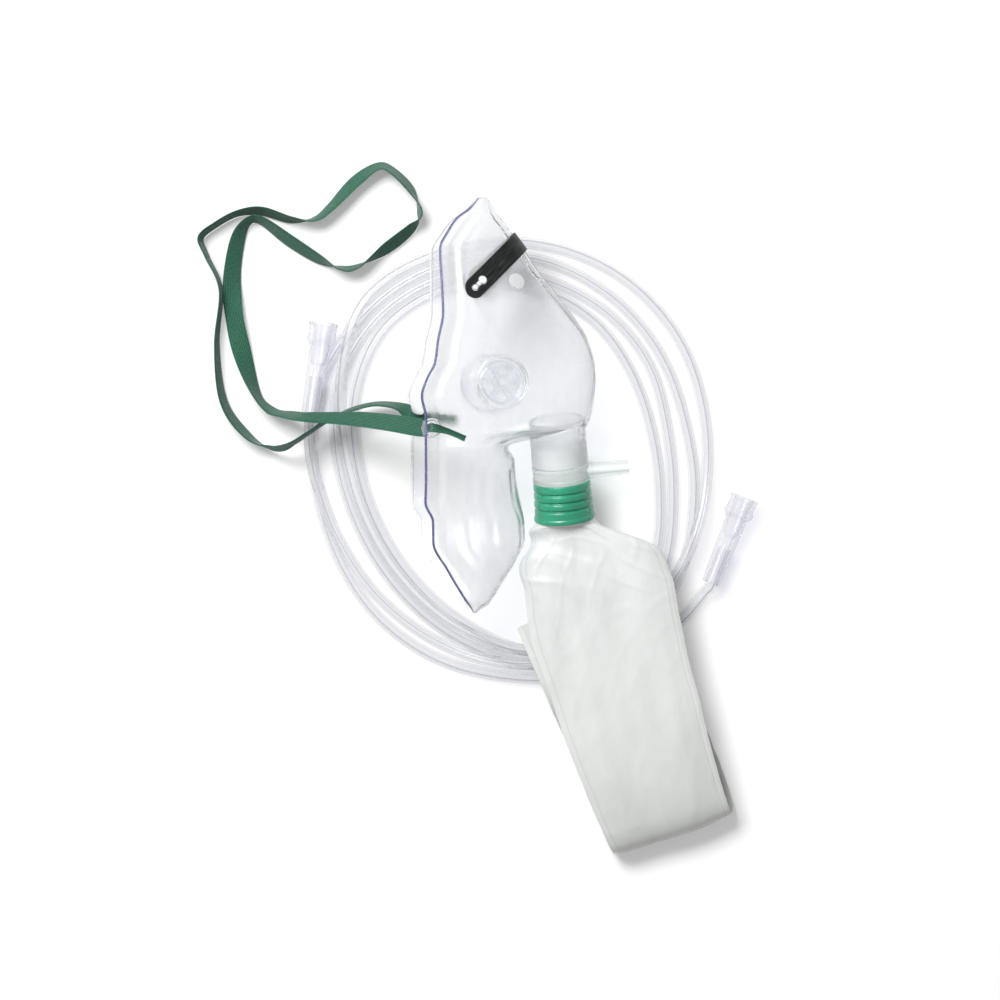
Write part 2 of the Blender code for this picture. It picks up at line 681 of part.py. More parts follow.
def make_adaptor(frosted, silicone):
    """The hollow adaptor with its valve seat and the oxygen nipple."""
    frame = port_frame()
    insert_r = PORT_OD / 2 - PORT_WALL - GAP
    bore_r = insert_r - ADAPTOR_WALL
    spigot_r = BAG_SPIGOT_OD / 2
    spigot_bore_r = spigot_r - ADAPTOR_WALL
    top = PORT_LENGTH - ADAPTOR_INSERT
    band_low = PORT_LENGTH + GAP
    band_high = band_low + BAND_HEIGHT
    end = band_high + BAG_SPIGOT
    seat_low = top + SEAT_DEPTH
    seat_high = seat_low + SEAT_THICKNESS
    flap_low = seat_low - GAP - FLAP_THICKNESS
    head_high = flap_low - GAP
    profile = [
        (0.0, seat_high), (bore_r, seat_high), (bore_r, band_high),
        (spigot_bore_r, band_high + SPIGOT_STEP), (spigot_bore_r, end), (spigot_r, end),
        (spigot_r, band_high), (BAND_OD / 2, band_high),
        (BAND_OD / 2, band_low), (insert_r, band_low), (insert_r, top), (bore_r, top), (bore_r, seat_low),
        (POST_D / 2, seat_low), (POST_D / 2, head_high), (POST_HEAD_D / 2, head_high),
        (POST_HEAD_D / 2, head_high - POST_HEAD), (0.0, head_high - POST_HEAD),
    ]
    body = turned("oxygen_adaptor", profile, frame, ROUND_STEPS, frosted)
    outer = bore_r - FLAP_MARGIN
    windows = window_cutters(
        "windows_adaptor", frame, seat_low - GAP / 2, seat_high + MM, BAG_WINDOW_INNER_R, outer
    )
    boolean(body, "DIFFERENCE", windows)
    middle = Matrix.Translation((0.0, 0.0, (band_low + band_high) / 2))
    across = frame @ middle @ Matrix.Rotation(math.pi / 2, 4, "Y")
    nipple = cylinder("nipple", across, NIPPLE_OD / 2, (bore_r + BAND_OD / 2) / 2, NIPPLE_REACH)
    bore = cylinder("nipple_bore", across, NIPPLE_BORE / 2, bore_r / 2, NIPPLE_REACH + MM)
    boolean(body, "UNION", nipple)
    boolean(body, "DIFFERENCE", bore)
    flap("bag_valve_flap", frame, flap_low, bore_r - 2 * GAP, silicone)


def collar_start():
    return PORT_LENGTH + 2 * GAP + BAND_HEIGHT


def make_collar(green):
    frame = port_frame()
    inner = BAG_SPIGOT_OD / 2 + GAP
    start = collar_start()
    end = start + COLLAR_LENGTH
    body_end = end - FLANGE_HEIGHT
    profile = [(inner, start), (COLLAR_OD / 2, start)]
    pitch = (body_end - start) / (COLLAR_GROOVES + 1)
    for k in range(1, COLLAR_GROOVES + 1):
        radius = COLLAR_OD / 2 + COLLAR_TAPER * k / (COLLAR_GROOVES + 1)
        middle = start + pitch * k
        profile += [
            (radius, middle - 1.1 * COLLAR_GROOVE),
            (radius - COLLAR_GROOVE, middle - 0.2 * COLLAR_GROOVE),
            (radius - COLLAR_GROOVE, middle + 0.2 * COLLAR_GROOVE),
            (radius, middle + 1.1 * COLLAR_GROOVE),
        ]
    radius = COLLAR_OD / 2 + COLLAR_TAPER
    profile += [(radius, body_end), (FLANGE_OD / 2, body_end + 0.3 * FLANGE_HEIGHT), (FLANGE_OD / 2, end)]
    profile += [(inner, end)]
    turned("bag_collar", profile, frame, ROUND_STEPS, green)


def coil_height(angle):
    """One tube high on the upper half, two where turns cross on the lower half."""
    share = min(max(0.5 - 2.0 * math.sin(angle), 0.0), 1.0)
    share = share * share * (3 - 2 * share)
    return TUBE_OD + share * TUBE_OD


def coil_edge(angle, outer):
    centre = COIL_CENTRE if outer else HOLLOW_CENTRE
    reach_x, reach_y = (COIL_OUTER_X, COIL_OUTER_Y) if outer else (COIL_INNER_X, COIL_INNER_Y)
    return centre + Vector((reach_x * math.cos(angle), reach_y * math.sin(angle), 0.0))


def above_coil(point):
    """A tube's middle point over the coil at a place in plan."""
    reach = point - COIL_CENTRE
    angle = math.atan2(reach.y / COIL_OUTER_Y, reach.x / COIL_OUTER_X)
    return Vector((point.x, point.y, coil_height(angle) + TUBE_OD / 2 + 2 * GAP))


def beside_coil(degrees, away):
    """A tube's middle point on the table, outside the coil."""
    angle = math.radians(degrees)
    out = Vector((math.cos(angle) / COIL_OUTER_X, math.sin(angle) / COIL_OUTER_Y, 0.0)).normalized()
    height = Vector((0.0, 0.0, TUBE_OD / 2 + TUBE_LIFT))
    return coil_edge(angle, True) + out * (TUBE_OD / 2 + GAP + away) + height


def make_coil(tubing):
    def fill(shape):
        loops = []
        for k in range(COIL_STEPS):
            angle = 2 * math.pi * k / COIL_STEPS
            inner = coil_edge(angle, False)
            outer = coil_edge(angle, True)
            across = (outer - inner).normalized() * COIL_EDGE
            height = Vector((0.0, 0.0, coil_height(angle)))
            low_edge = Vector((0.0, 0.0, COIL_EDGE))
            ring = [
                inner + across, inner + low_edge, inner + height - low_edge, inner + height + across,
                outer + height - across, outer + height - low_edge, outer + low_edge, outer - across,
            ]
            loops.append([shape.verts.new(point) for point in ring])
        for k in range(COIL_STEPS):
            one, two = loops[k - 1], loops[k]
            for i in range(len(one)):
                shape.faces.new((one[i - 1], one[i], two[i], two[i - 1]))

    add_object("tubing_coil", fill, tubing)


def connector_frame(mouth, heading, rise):
    """Frame at the mouth's centre, Z along the connector to its tail, which rises off the table."""
    level = Vector((math.sin(heading), -math.cos(heading), 0.0))
    axis = level * math.cos(rise) + Vector((0.0, 0.0, math.sin(rise)))
    side = Vector((math.cos(heading), math.sin(heading), 0.0))
    rotation = Matrix((side, axis.cross(side), axis)).transposed().to_4x4()
    lift = Vector((0.0, 0.0, CONNECTOR_MOUTH_D / 2 * math.cos(rise)))
    return Matrix.Translation(mouth + lift) @ rotation


def make_connector(tag, frame, clear):
    mouth_r = CONNECTOR_MOUTH_D / 2
    body_r = CONNECTOR_BODY_D / 2
    tail_r = CONNECTOR_TAIL_D / 2
    socket_r = TUBE_OD / 2 + GAP
    grip = CONNECTOR_GRIP
    length = CONNECTOR_LENGTH
    profile = [(CONNECTOR_FUNNEL_D / 2, 0.0), (mouth_r, 0.0)]
    profile += [(mouth_r - inside, share * grip) for share, inside in GRIP_SHAPE]
    profile += [
        (body_r, grip + CONNECTOR_SHOULDER),
        (tail_r, length),
        (socket_r, length),
        (socket_r, length - CONNECTOR_SOCKET),
        (CONNECTOR_THROAT_D / 2, length - CONNECTOR_SOCKET),
        (CONNECTOR_THROAT_D / 2, CONNECTOR_FUNNEL + THROAT_STEP),
        (CONNECTOR_THROAT_D / 2 + THROAT_STEP, CONNECTOR_FUNNEL),
    ]
    turned(f"tubing_connector_{tag}", profile, frame, 24, clear)


def tube(name, points, material):
    curve = bpy.data.curves.new(name, "CURVE")
    curve.dimensions = "3D"
    curve.bevel_depth = TUBE_OD / 2
    curve.bevel_resolution = 3
    curve.use_fill_caps = True
    spline = curve.splines.new("POLY")
    spline.points.add(len(points) - 1)
    for slot, point in zip(spline.points, points):
        slot.co = (*point, 1.0)
    curve.materials.append(material)
    thing = bpy.data.objects.new(name, curve)
    bpy.context.scene.collection.objects.link(thing)


def make_tubing(tubing, clear):
    make_coil(tubing)
    socket_end = CONNECTOR_LENGTH - CONNECTOR_SOCKET + GAP
    frames = {
        "left": connector_frame(LEFT_MOUTH, LEFT_HEADING, LEFT_RISE),
        "right": connector_frame(RIGHT_MOUTH, RIGHT_HEADING, 0.0),
    }
    left = [Vector(p) * MM for p in LEFT_ROUTE] + [above_coil(LEFT_END)]
    right = [Vector(p) * MM for p in RIGHT_ROUTE] + [beside_coil(*join) for join in RIGHT_JOINS]
    for tag, route in (("left", left), ("right", right)):
        frame = frames[tag]
        make_connector(tag, frame, clear)
        step = CONNECTOR_SOCKET / 2 + TUBE_STRAIGHT
        inside = [frame @ Vector((0.0, 0.0, socket_end + k * step)) for k in range(3)]
        points = smooth_route([tuple(p) for p in inside + route], 3)
        tube(f"tubing_end_{tag}", points, tubing)


def strap_end(side, tail_y):
    """Points from the tail outside the mask, through the eyelet to its inside, as the route lists them."""
    frame = eyelet_frame(side)
    out = frame.col[2].xyz
    hole = frame.translation
    inside = -(MASK_WALL + EYELET_HEIGHT) / 2
    points = []
    for share in (1.0, 0.5):
        x = hole.x + share * STRAP_TAIL
        wall = wall_point(EYELET_AT, forward_at(x, side), side)
        points.append(Vector((x, hole.y + share * tail_y, wall.z + side * STRAP_LIFT)))
    points += [hole + out * h for h in (EYELET_HEIGHT, inside / 2, inside - STRAP_LIFT)]
    points.append(hole + Vector((-STRAP_INWARD, 0.0, -side * STRAP_INWARD * 1.4)))
    return points


def forward_at(x, side):
    """Forward distance of the wall's point with a given x, near the rim."""
    return (x - RIM_X - side * 0.5 * MASK_WIDTH * math.sin(MASK_ROLL)) / math.cos(MASK_ROLL)


def strap_stations():
    """Middle of the band as x, y, z, width seen and width, in metres, all along the strap."""
    stations = []
    for x, y, under, seen in STRAP_ROUTE:
        tilt = math.acos(seen * MM / STRAP_WIDTH)
        rise = (STRAP_WIDTH * math.sin(tilt) + STRAP_THICKNESS * math.cos(tilt)) / 2
        stations.append((x * MM, y * MM, under * MM + rise, seen * MM, STRAP_WIDTH))
    near = [(*point, STRAP_PINCHED, STRAP_PINCHED) for point in strap_end(1, NEAR_TAIL_Y)]
    far = [(*point, STRAP_PINCHED, STRAP_PINCHED) for point in strap_end(-1, FAR_TAIL_Y)]
    return smooth_route(near + stations + far[::-1], 3)


def strap_ring(station, heading, tangent):
    """A flat rectangle across the route, turned on edge where the band is seen narrow."""
    centre = Vector(station[:3])
    seen, width = station[3:]
    thickness = STRAP_THICKNESS * (1 + 0.2 * (STRAP_WIDTH - width) / MM)
    tilt = math.acos(min(1.0, seen / width))
    level = Vector((heading.y, -heading.x, 0.0)).normalized()
    up = level.cross(tangent).normalized()
    across = level * math.cos(tilt) + up * math.sin(tilt)
    half = across * (width / 2)
    thick = across.cross(tangent).normalized() * (thickness / 2)
    centre.z = max(centre.z, GAP + abs(half.z) + abs(thick.z))
    return [centre - half - thick, centre + half - thick, centre + half + thick, centre - half + thick]


def make_strap(fabric):
    stations = strap_stations()
    last = len(stations) - 1
    rings = []
    for k, station in enumerate(stations):
        tangent = Vector(stations[min(k + 1, last)][:3]) - Vector(stations[max(k - 1, 0)][:3])
        heading = Vector(stations[min(k + 4, last)][:3]) - Vector(stations[max(k - 4, 0)][:3])
        rings.append(strap_ring(station, heading, tangent.normalized()))
    lofted("head_strap", rings, fabric)


def bag_ring(station, forward):
    """A flattened loop across the film at one station."""
    centre = Vector(station[:3]) * MM
    half_width, half_thickness = station[3] * MM, station[4] * MM
    turn = math.radians(station[5])
    bend = 2 / station[6]
    across = Vector((math.cos(turn), math.sin(turn), 0.0))
    up = across.cross(forward).normalized()
    ring = []
    for k in range(BAG_AROUND):
        angle = 2 * math.pi * (k + 0.5) / BAG_AROUND
        wide = math.copysign(abs(math.cos(angle)) ** bend, math.cos(angle))
        high = math.copysign(abs(math.sin(angle)) ** bend, math.sin(angle))
        ring.append(centre + across * half_width * wide + up * half_thickness * high)
    return ring


def make_bag(film):
    frame = port_frame()
    start = collar_start() + COLLAR_LENGTH + GAP
    neck = []
    for distance, thickness in ((0.0, 1.0), (BAG_GATHER, 0.92)):
        point = frame @ Vector((0.0, 0.0, start + distance)) / MM
        radius = BAG_GATHER_D / 2 / MM
        neck.append((*point, radius, radius * thickness, math.degrees(PORT_TURN), 2.0))
    shift = frame @ Vector((0.0, 0.0, start)) / MM - BAG_NECK
    body = [(s[0] + shift.x, s[1] + shift.y, *s[2:]) for s in BAG_UPPER + BAG_FOLD + BAG_LOWER]
    stations = smooth_route(neck + body, 2)
    last = len(stations) - 1
    rings = []
    for k, station in enumerate(stations):
        forward = frame.col[2].xyz
        if k > 0:
            forward = Vector(stations[min(k + 1, last)][:3]) - Vector(stations[k - 1][:3])
        rings.append(bag_ring(station, forward.normalized()))
    lofted("reservoir_bag", rings, film)


def main():
    clear_scene()
    clear = plastic("clear_pvc", (0.86, 0.88, 0.92), 0.18, 0.35)
    frosted = plastic("frosted_plastic", (0.86, 0.90, 0.88), 0.45, 0.7)
    silicone = plastic("silicone", (0.84, 0.87, 0.90), 0.5, 0.6)
    green = plastic("green_collar", (0.06, 0.45, 0.24), 0.35)
    metal = plastic("dark_aluminium", (0.09, 0.10, 0.10), 0.35, 1.0, 0.9)
    film = plastic("bag_film", (0.80, 0.84, 0.81), 0.4, 0.85)
    fabric = plastic("green_elastic", (0.06, 0.24, 0.15), 0.8)
    tubing = plastic("clear_tubing", (0.86, 0.87, 0.92), 0.15, 0.4)
    shell = make_mask(clear)
    make_port(shell)
    make_valve(shell, 1, "near", silicone)
    make_valve(shell, -1, "far", silicone)
    make_eyelet(shell, 1, "near")
    make_eyelet(shell, -1, "far")
    make_gate(shell)
    make_clip(shell, metal)
    make_adaptor(frosted, silicone)
    make_collar(green)
    make_bag(film)
    make_strap(fabric)
    make_tubing(tubing, clear)


main()
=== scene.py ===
"""Looks of the oxygen mask set: clear mask, strap, folded bag and coiled tubing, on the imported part."""
import functools
import json
import math

import bmesh
import bpy
import numpy as np
from mathutils import Matrix, Vector, noise

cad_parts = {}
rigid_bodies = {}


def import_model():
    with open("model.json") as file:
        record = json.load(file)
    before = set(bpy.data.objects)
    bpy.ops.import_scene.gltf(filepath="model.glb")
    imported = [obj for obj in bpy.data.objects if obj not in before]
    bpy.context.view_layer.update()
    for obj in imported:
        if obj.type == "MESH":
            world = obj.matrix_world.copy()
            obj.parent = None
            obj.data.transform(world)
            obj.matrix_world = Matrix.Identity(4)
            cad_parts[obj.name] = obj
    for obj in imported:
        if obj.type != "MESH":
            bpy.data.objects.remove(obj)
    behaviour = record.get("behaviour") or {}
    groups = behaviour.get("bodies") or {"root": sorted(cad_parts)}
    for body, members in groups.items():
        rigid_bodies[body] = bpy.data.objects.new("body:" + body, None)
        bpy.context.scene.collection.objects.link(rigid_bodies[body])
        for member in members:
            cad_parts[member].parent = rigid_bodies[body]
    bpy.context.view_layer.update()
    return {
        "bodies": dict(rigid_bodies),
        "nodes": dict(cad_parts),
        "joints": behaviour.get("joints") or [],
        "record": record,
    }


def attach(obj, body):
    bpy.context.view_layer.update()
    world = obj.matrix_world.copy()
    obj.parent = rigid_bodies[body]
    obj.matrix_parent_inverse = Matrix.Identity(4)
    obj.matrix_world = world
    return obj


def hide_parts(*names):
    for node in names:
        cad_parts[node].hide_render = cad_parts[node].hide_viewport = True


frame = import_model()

MM = 0.001

# Camera straight above the table; the view's width is measured at the table
VIEW_CENTRE = Vector((-0.03003, 0.01029, 0.0))
VIEW_WIDTH = 0.42
CAMERA_HEIGHT = 5.0
SENSOR = 36.0
FARTHEST_SEEN = 30.0


def new_object(name, data):
    thing = bpy.data.objects.new(name, data)
    bpy.context.scene.collection.objects.link(thing)
    return thing


def make_camera():
    camera = bpy.data.cameras.new("camera")
    camera.sensor_width = SENSOR
    camera.lens = SENSOR * CAMERA_HEIGHT / VIEW_WIDTH
    camera.clip_end = FARTHEST_SEEN
    thing = new_object("camera", camera)
    thing.location = VIEW_CENTRE + Vector((0.0, 0.0, CAMERA_HEIGHT))
    bpy.context.scene.camera = thing


make_camera()


# Sizes repeated from the part
GAP = 0.3 * MM
MASK_LENGTH = 173.5 * MM
MASK_DEPTH = 72.3 * MM
MASK_WIDTH = 50.0 * MM
MASK_WALL = 1.3 * MM
MASK_ROLL = math.radians(6.5)
NOSE_Y = 136.6 * MM
RIM_X = -62.4 * MM
RIM_FLARE = 2.2 * MM
RIM_FLARE_DEPTH = 7.0 * MM
RIM_EDGE = (
    (0.000, 0.330), (0.028, 0.274), (0.050, 0.203), (0.077, 0.158), (0.125, 0.105), (0.211, 0.116),
    (0.280, 0.122), (0.344, 0.094), (0.399, 0.076), (0.441, 0.026), (0.479, 0.000), (0.528, 0.022),
    (0.687, 0.024), (0.735, 0.021), (0.779, 0.064), (0.832, 0.066), (0.895, 0.145), (0.968, 0.250),
    (1.000, 0.305),
)
FRONT_EDGE = (
    (0.000, 0.380), (0.014, 0.395), (0.082, 0.512), (0.125, 0.588), (0.179, 0.674), (0.234, 0.779),
    (0.288, 0.878), (0.338, 0.953), (0.394, 0.993), (0.435, 1.000), (0.515, 0.976), (0.549, 0.950),
    (0.563, 0.900), (0.588, 0.560), (0.600, 0.492), (0.631, 0.530), (0.682, 0.541), (0.796, 0.588),
    (0.820, 0.588), (0.871, 0.541), (0.936, 0.448), (1.000, 0.355),
)
SIDE_EDGE = (
    (0.000, 0.20), (0.028, 0.34), (0.077, 0.50), (0.125, 0.62), (0.180, 0.72), (0.234, 0.80),
    (0.340, 0.92), (0.450, 0.99), (0.520, 1.00), (0.700, 0.99), (0.780, 0.91), (0.840, 0.80),
    (0.900, 0.60), (0.950, 0.42), (0.980, 0.30), (1.000, 0.20),
)
SECTION_POWER = ((0.0, 1.9), (0.12, 1.7), (0.25, 1.8), (0.45, 2.4), (0.75, 2.4), (1.0, 2.0))
SHELF_FROM = 0.540
SHELF_TO = 0.612
EYELET_AT = 0.556
EYELET_IN = 5.2 * MM
EYELET_OD = 8.4 * MM
EYELET_HOLE = 5.0 * MM
EYELET_HEIGHT = 2.6 * MM
VALVE_AT = 0.445
VALVE_FORWARD = 30.6 * MM
VALVE_OD = 22.7 * MM
VALVE_RING = 1.3 * MM
VALVE_RISE = 2.2 * MM
VALVE_SEAT = 1.2 * MM
VALVE_SKIRT = 3.0 * MM
VALVE_WINDOWS = 6
WINDOW_INNER_R = 3.4 * MM
WINDOW_OUTER_R = 8.2 * MM
WINDOW_ANGLE = math.radians(42)
POST_D = 3.0 * MM
POST_HEAD_D = 4.6 * MM
POST_HEAD = 0.7 * MM
FLAP_THICKNESS = 0.6 * MM
FLAP_MARGIN = 1.1 * MM
CLIP_AT = 0.107
CLIP_LENGTH = 74.0 * MM
CLIP_WIDTH = 8.8 * MM
CLIP_THICKNESS = 0.8 * MM
CLIP_TURN = math.radians(7)
CLIP_LIFT = GAP + 0.1 * MM
CLIP_SAMPLES = 36
CLIP_RIM_SHARE = 0.08
CLIP_LOWEST = 0.5
CLIP_HALVINGS = 22
SECTION_STEPS = 121
KEYHOLE_D = 4.0 * MM
KEYHOLE_SLOT = 3.0 * MM
KEYHOLE_LENGTH = 4.8 * MM
STUD_HEIGHT = 1.8 * MM
GATE_AT = 0.203
GATE_FORWARD = 38.0 * MM
GATE_D = 7.0 * MM
GATE_RISE = 0.5 * MM
PORT_AT = 0.574
PORT_FORWARD = 56.9 * MM
PORT_TURN = math.radians(5.0)
PORT_DROOP = math.radians(14)
PORT_OD = 23.6 * MM
PORT_WALL = 1.4 * MM
PORT_INSIDE = 7.0 * MM
PORT_LENGTH = 12.0 * MM
ADAPTOR_WALL = 1.4 * MM
ADAPTOR_INSERT = 8.0 * MM
BAND_OD = 24.0 * MM
BAND_HEIGHT = 6.9 * MM
BAG_SPIGOT = 15.2 * MM
BAG_SPIGOT_OD = 20.6 * MM
SPIGOT_STEP = 2.0 * MM
SEAT_DEPTH = 2.6 * MM
SEAT_THICKNESS = 1.2 * MM
BAG_WINDOW_INNER_R = 2.8 * MM
NIPPLE_OD = 6.3 * MM
NIPPLE_BORE = 3.0 * MM
NIPPLE_REACH = 28.5 * MM
COLLAR_OD = 24.0 * MM
COLLAR_TAPER = 0.5 * MM
COLLAR_LENGTH = 16.2 * MM
COLLAR_GROOVES = 3
COLLAR_GROOVE = 0.7 * MM
FLANGE_OD = 25.8 * MM
FLANGE_HEIGHT = 2.2 * MM
TUBE_OD = 5.0 * MM
TUBE_BORE = 3.1 * MM
LEFT_MOUTH = Vector((-103.9, 84.5, 0.0)) * MM
LEFT_HEADING = math.radians(-8)
LEFT_RISE = math.radians(5.5)
RIGHT_MOUTH = Vector((72.7, 11.5, 0.0)) * MM
RIGHT_HEADING = math.radians(-21.5)
CONNECTOR_LENGTH = 39.0 * MM
CONNECTOR_MOUTH_D = 12.4 * MM
CONNECTOR_GRIP = 8.4 * MM
CONNECTOR_BODY_D = 9.4 * MM
CONNECTOR_TAIL_D = 7.6 * MM
CONNECTOR_FUNNEL_D = 8.6 * MM
CONNECTOR_THROAT_D = 3.4 * MM
CONNECTOR_SOCKET = 16.0 * MM
CONNECTOR_FUNNEL = 17.0 * MM
STRAP_WIDTH = 8.0 * MM
STRAP_THICKNESS = 1.0 * MM
STRAP_PINCHED = 3.6 * MM
STRAP_LIFT = 2.3 * MM
STRAP_INWARD = 5.5 * MM
STRAP_ROUTE = (
    (-74.1, 42.2, 34.3, 7.2), (-87.2, 43.9, 23.4, 6.4), (-98.0, 44.6, 17.4, 5.2),
    (-106.5, 44.8, 15.2, 4.6), (-113.0, 45.2, 14.6, 4.0), (-119.0, 46.2, 7.0, 3.8),
    (-125.8, 47.7, 0.8, 3.8), (-131.7, 53.6, 0.5, 3.4), (-137.1, 67.8, 0.5, 7.0),
    (-141.3, 85.9, 0.5, 7.6), (-142.6, 102.7, 0.5, 7.4), (-140.1, 119.5, 0.5, 6.0),
    (-135.9, 127.1, 0.5, 3.4), (-130.0, 127.5, 0.5, 3.4), (-118.2, 119.1, 0.5, 4.8),
    (-105.6, 111.1, 0.5, 3.6), (-97.2, 107.7, 0.5, 1.7), (-90.1, 108.2, 0.5, 1.9),
    (-77.9, 115.7, 0.5, 4.4), (-67.0, 124.5, 0.5, 3.6), (-63.6, 130.8, 0.5, 2.2),
    (-67.4, 140.5, 0.5, 3.0), (-75.4, 148.5, 0.5, 3.2), (-81.3, 150.2, 0.5, 3.4),
    (-90.9, 143.8, 0.5, 5.0), (-101.0, 133.4, 0.5, 3.6), (-107.7, 128.3, 0.5, 2.0),
    (-117.4, 127.9, 0.5, 2.6), (-130.0, 131.5, 0.5, 3.6), (-140.1, 130.6, 0.5, 2.4),
    (-149.3, 125.8, 0.5, 2.2), (-155.6, 120.3, 0.5, 2.4), (-153.1, 112.8, 0.5, 1.7),
    (-147.2, 98.5, 0.5, 1.3), (-148.9, 75.4, 0.5, 2.0), (-145.9, 51.5, 0.5, 3.2),
    (-135.9, 37.2, 0.5, 3.2), (-125.5, 31.9, 2.0, 1.6), (-117.5, 33.8, 9.6, 1.3),
    (-110.0, 38.4, 13.2, 1.3), (-102.0, 43.8, 9.2, 1.3), (-93.0, 48.0, 6.0, 1.3),
    (-82.0, 50.6, 5.0, 1.8), (-71.5, 49.2, 4.9, 4.0),
)
# For each place of the route: 1 where the band's face leans to the left of its way, -1 to the right
STRAP_LEAN = (
    -1, -1, -1, -1, -1, -1, -1, -1, -1, 1, -1, -1, -1, -1, -1, -1, 1, 1, -1, -1, 1, -1,
    -1, -1, -1, -1, -1, 1, 1, 1, 1, 1, 1, 1, 1, 1, 1, -1, -1, -1, -1, 1, 1, 1,
)
# Where the photo shows the eyelets and the folded ends of the band
NEAR_EYELET_IN = 2.4 * MM
FAR_EYELET_AT = 0.527
STRAP_TAIL_WIDTH = 2.5 * MM
NEAR_TAIL = (13.8 * MM, -4.4 * MM)
FAR_TAIL = (12.9 * MM, -1.2 * MM)
BAG_NECK = Vector((-3.4, -0.4, 14.5))
BAG_UPPER = (
    (1.2, -8.6, 14.4, 19.0, 7.0, 8, 2.2),
    (6.3, -16.2, 16.4, 29.3, 5.0, 8, 2.6),
    (10.3, -27.0, 17.4, 31.0, 4.6, 7.5, 3.0),
    (12.5, -40.0, 17.7, 31.8, 3.8, 14, 3.2),
    (18.0, -62.0, 17.4, 30.5, 3.3, 15, 3.4),
    (27.0, -92.0, 16.8, 29.0, 3.0, 16, 3.4),
    (36.0, -118.0, 15.6, 27.2, 2.8, 17, 3.4),
)
BAG_FOLD = (
    (40.4, -129.0, 13.6, 26.4, 2.2, 18, 3.4),
    (41.8, -132.2, 8.6, 26.4, 1.8, 19, 3.4),
    (41.0, -128.0, 3.4, 27.9, 1.6, 21, 3.4),
)
BAG_LOWER = (
    (31.8, -104.4, 2.0, 28.6, 1.3, 21, 3.4),
    (22.0, -82.0, 3.6, 27.8, 1.2, 23, 3.4),
    (15.5, -67.0, 10.8, 27.9, 1.2, 23.5, 3.4),
    (9.5, -53.0, 12.3, 28.0, 1.2, 24, 3.4),
    (1.9, -34.8, 12.3, 28.2, 1.2, 24, 3.4),
)

# The coil from above: its middle, and the tube's distance from it at each fifteenth of every turn, in mm,
# from the left side on, by way of the bottom
COIL_MIDDLE = (-25.8, 26.2)
COIL_START = 180
COIL_STEP = 24
COIL_TURNS = (
    (83.5, 79.5, 79.5, 82.0, 85.5, 87.5, 85.0, 83.0, 84.0, 88.0, 91.0, 92.5, 92.5, 92.0, 78.0),
    (68.5, 65.5, 67.0, 72.5, 80.0, 81.0, 74.5, 64.5, 61.0, 63.5, 69.5, 74.0, 78.0, 78.0, 71.0),
    (64.0, 61.5, 63.5, 70.0, 80.5, 83.0, 79.0, 70.0, 67.5, 72.0, 75.5, 79.0, 83.5, 83.0, 79.0),
    (72.0, 69.0, 71.0, 77.0, 86.0, 88.5, 86.5, 79.5, 75.5, 78.0, 82.0, 86.5, 87.5, 87.5, 86.5),
    (83.0, 82.0, 85.5, 88.5, 91.5),
)
COIL_DROP = 2.2
LEFT_LEAD = ((-109.9, 35.5), )
RIGHT_LEAD = (
    (5.7, -61.7), (16.0, -57.5), (22.9, -53.6), (30.0, -50.2), (37.5, -46.6), (44.5, -42.0), (50.4, -35.5),
    (55.2, -28.6),
)


# Shape helpers

def eased(points, at):
    """Reads a smooth curve through (place, value) points, without overshoot between them."""
    places = [p for p, _ in points]
    values = [v for _, v in points]
    at = min(max(at, places[0]), places[-1])
    i = min(max(np.searchsorted(places, at) - 1, 0), len(places) - 2)
    slopes = [(values[k + 1] - values[k]) / (places[k + 1] - places[k]) for k in range(len(places) - 1)]

    def tangent(k):
        if k == 0 or k == len(places) - 1:
            return slopes[0] if k == 0 else slopes[-1]
        before, after = slopes[k - 1], slopes[k]
        return 0.0 if before * after <= 0 else 2 * before * after / (before + after)

    span = places[i + 1] - places[i]
    s = (at - places[i]) / span
    return (
        values[i] * (1 + 2 * s) * (1 - s) ** 2
        + tangent(i) * span * s * (1 - s) ** 2
        + values[i + 1] * s * s * (3 - 2 * s)
        - tangent(i + 1) * span * s * s * (1 - s)
    )


def smooth_route(points, per_stretch):
    """Points along a Catmull-Rom curve through tuples of any length."""
    points = [np.array(p, float) for p in points]
    ends = [2 * points[0] - points[1]] + points + [2 * points[-1] - points[-2]]
    route = []
    for k in range(1, len(ends) - 2):
        a, b, c, d = ends[k - 1:k + 3]
        for step in range(per_stretch):
            s = step / per_stretch
            route.append(
                0.5 * (2 * b + (c - a) * s + (2 * a - 5 * b + 4 * c - d) * s ** 2
                       + (3 * b - a - 3 * c + d) * s ** 3)
            )
    route.append(points[-1])
    return route


def arc_lengths(points):
    """Distance along a route at each of its points."""
    return np.concatenate(([0.0], np.cumsum(np.linalg.norm(np.diff(points, axis=0), axis=1))))


def even_points(points, steps):
    """A route read again in even steps."""
    arc = arc_lengths(points)
    places = np.linspace(0.0, arc[-1], steps + 1)
    return np.stack([np.interp(places, arc, points[:, k]) for k in range(3)], axis=1)


def clamped(value):
    return min(1.0, max(0.0, value))


def bell(value, middle, width):
    """A smooth hump of height 1 about its middle."""
    return math.exp(-((value - middle) / width) ** 2)


def waves(x, y, z):
    return noise.noise(Vector((x, y, z)))


def frame_at(origin, x_axis, z_axis):
    rotation = Matrix((x_axis, z_axis.cross(x_axis), z_axis)).transposed().to_4x4()
    return Matrix.Translation(origin) @ rotation


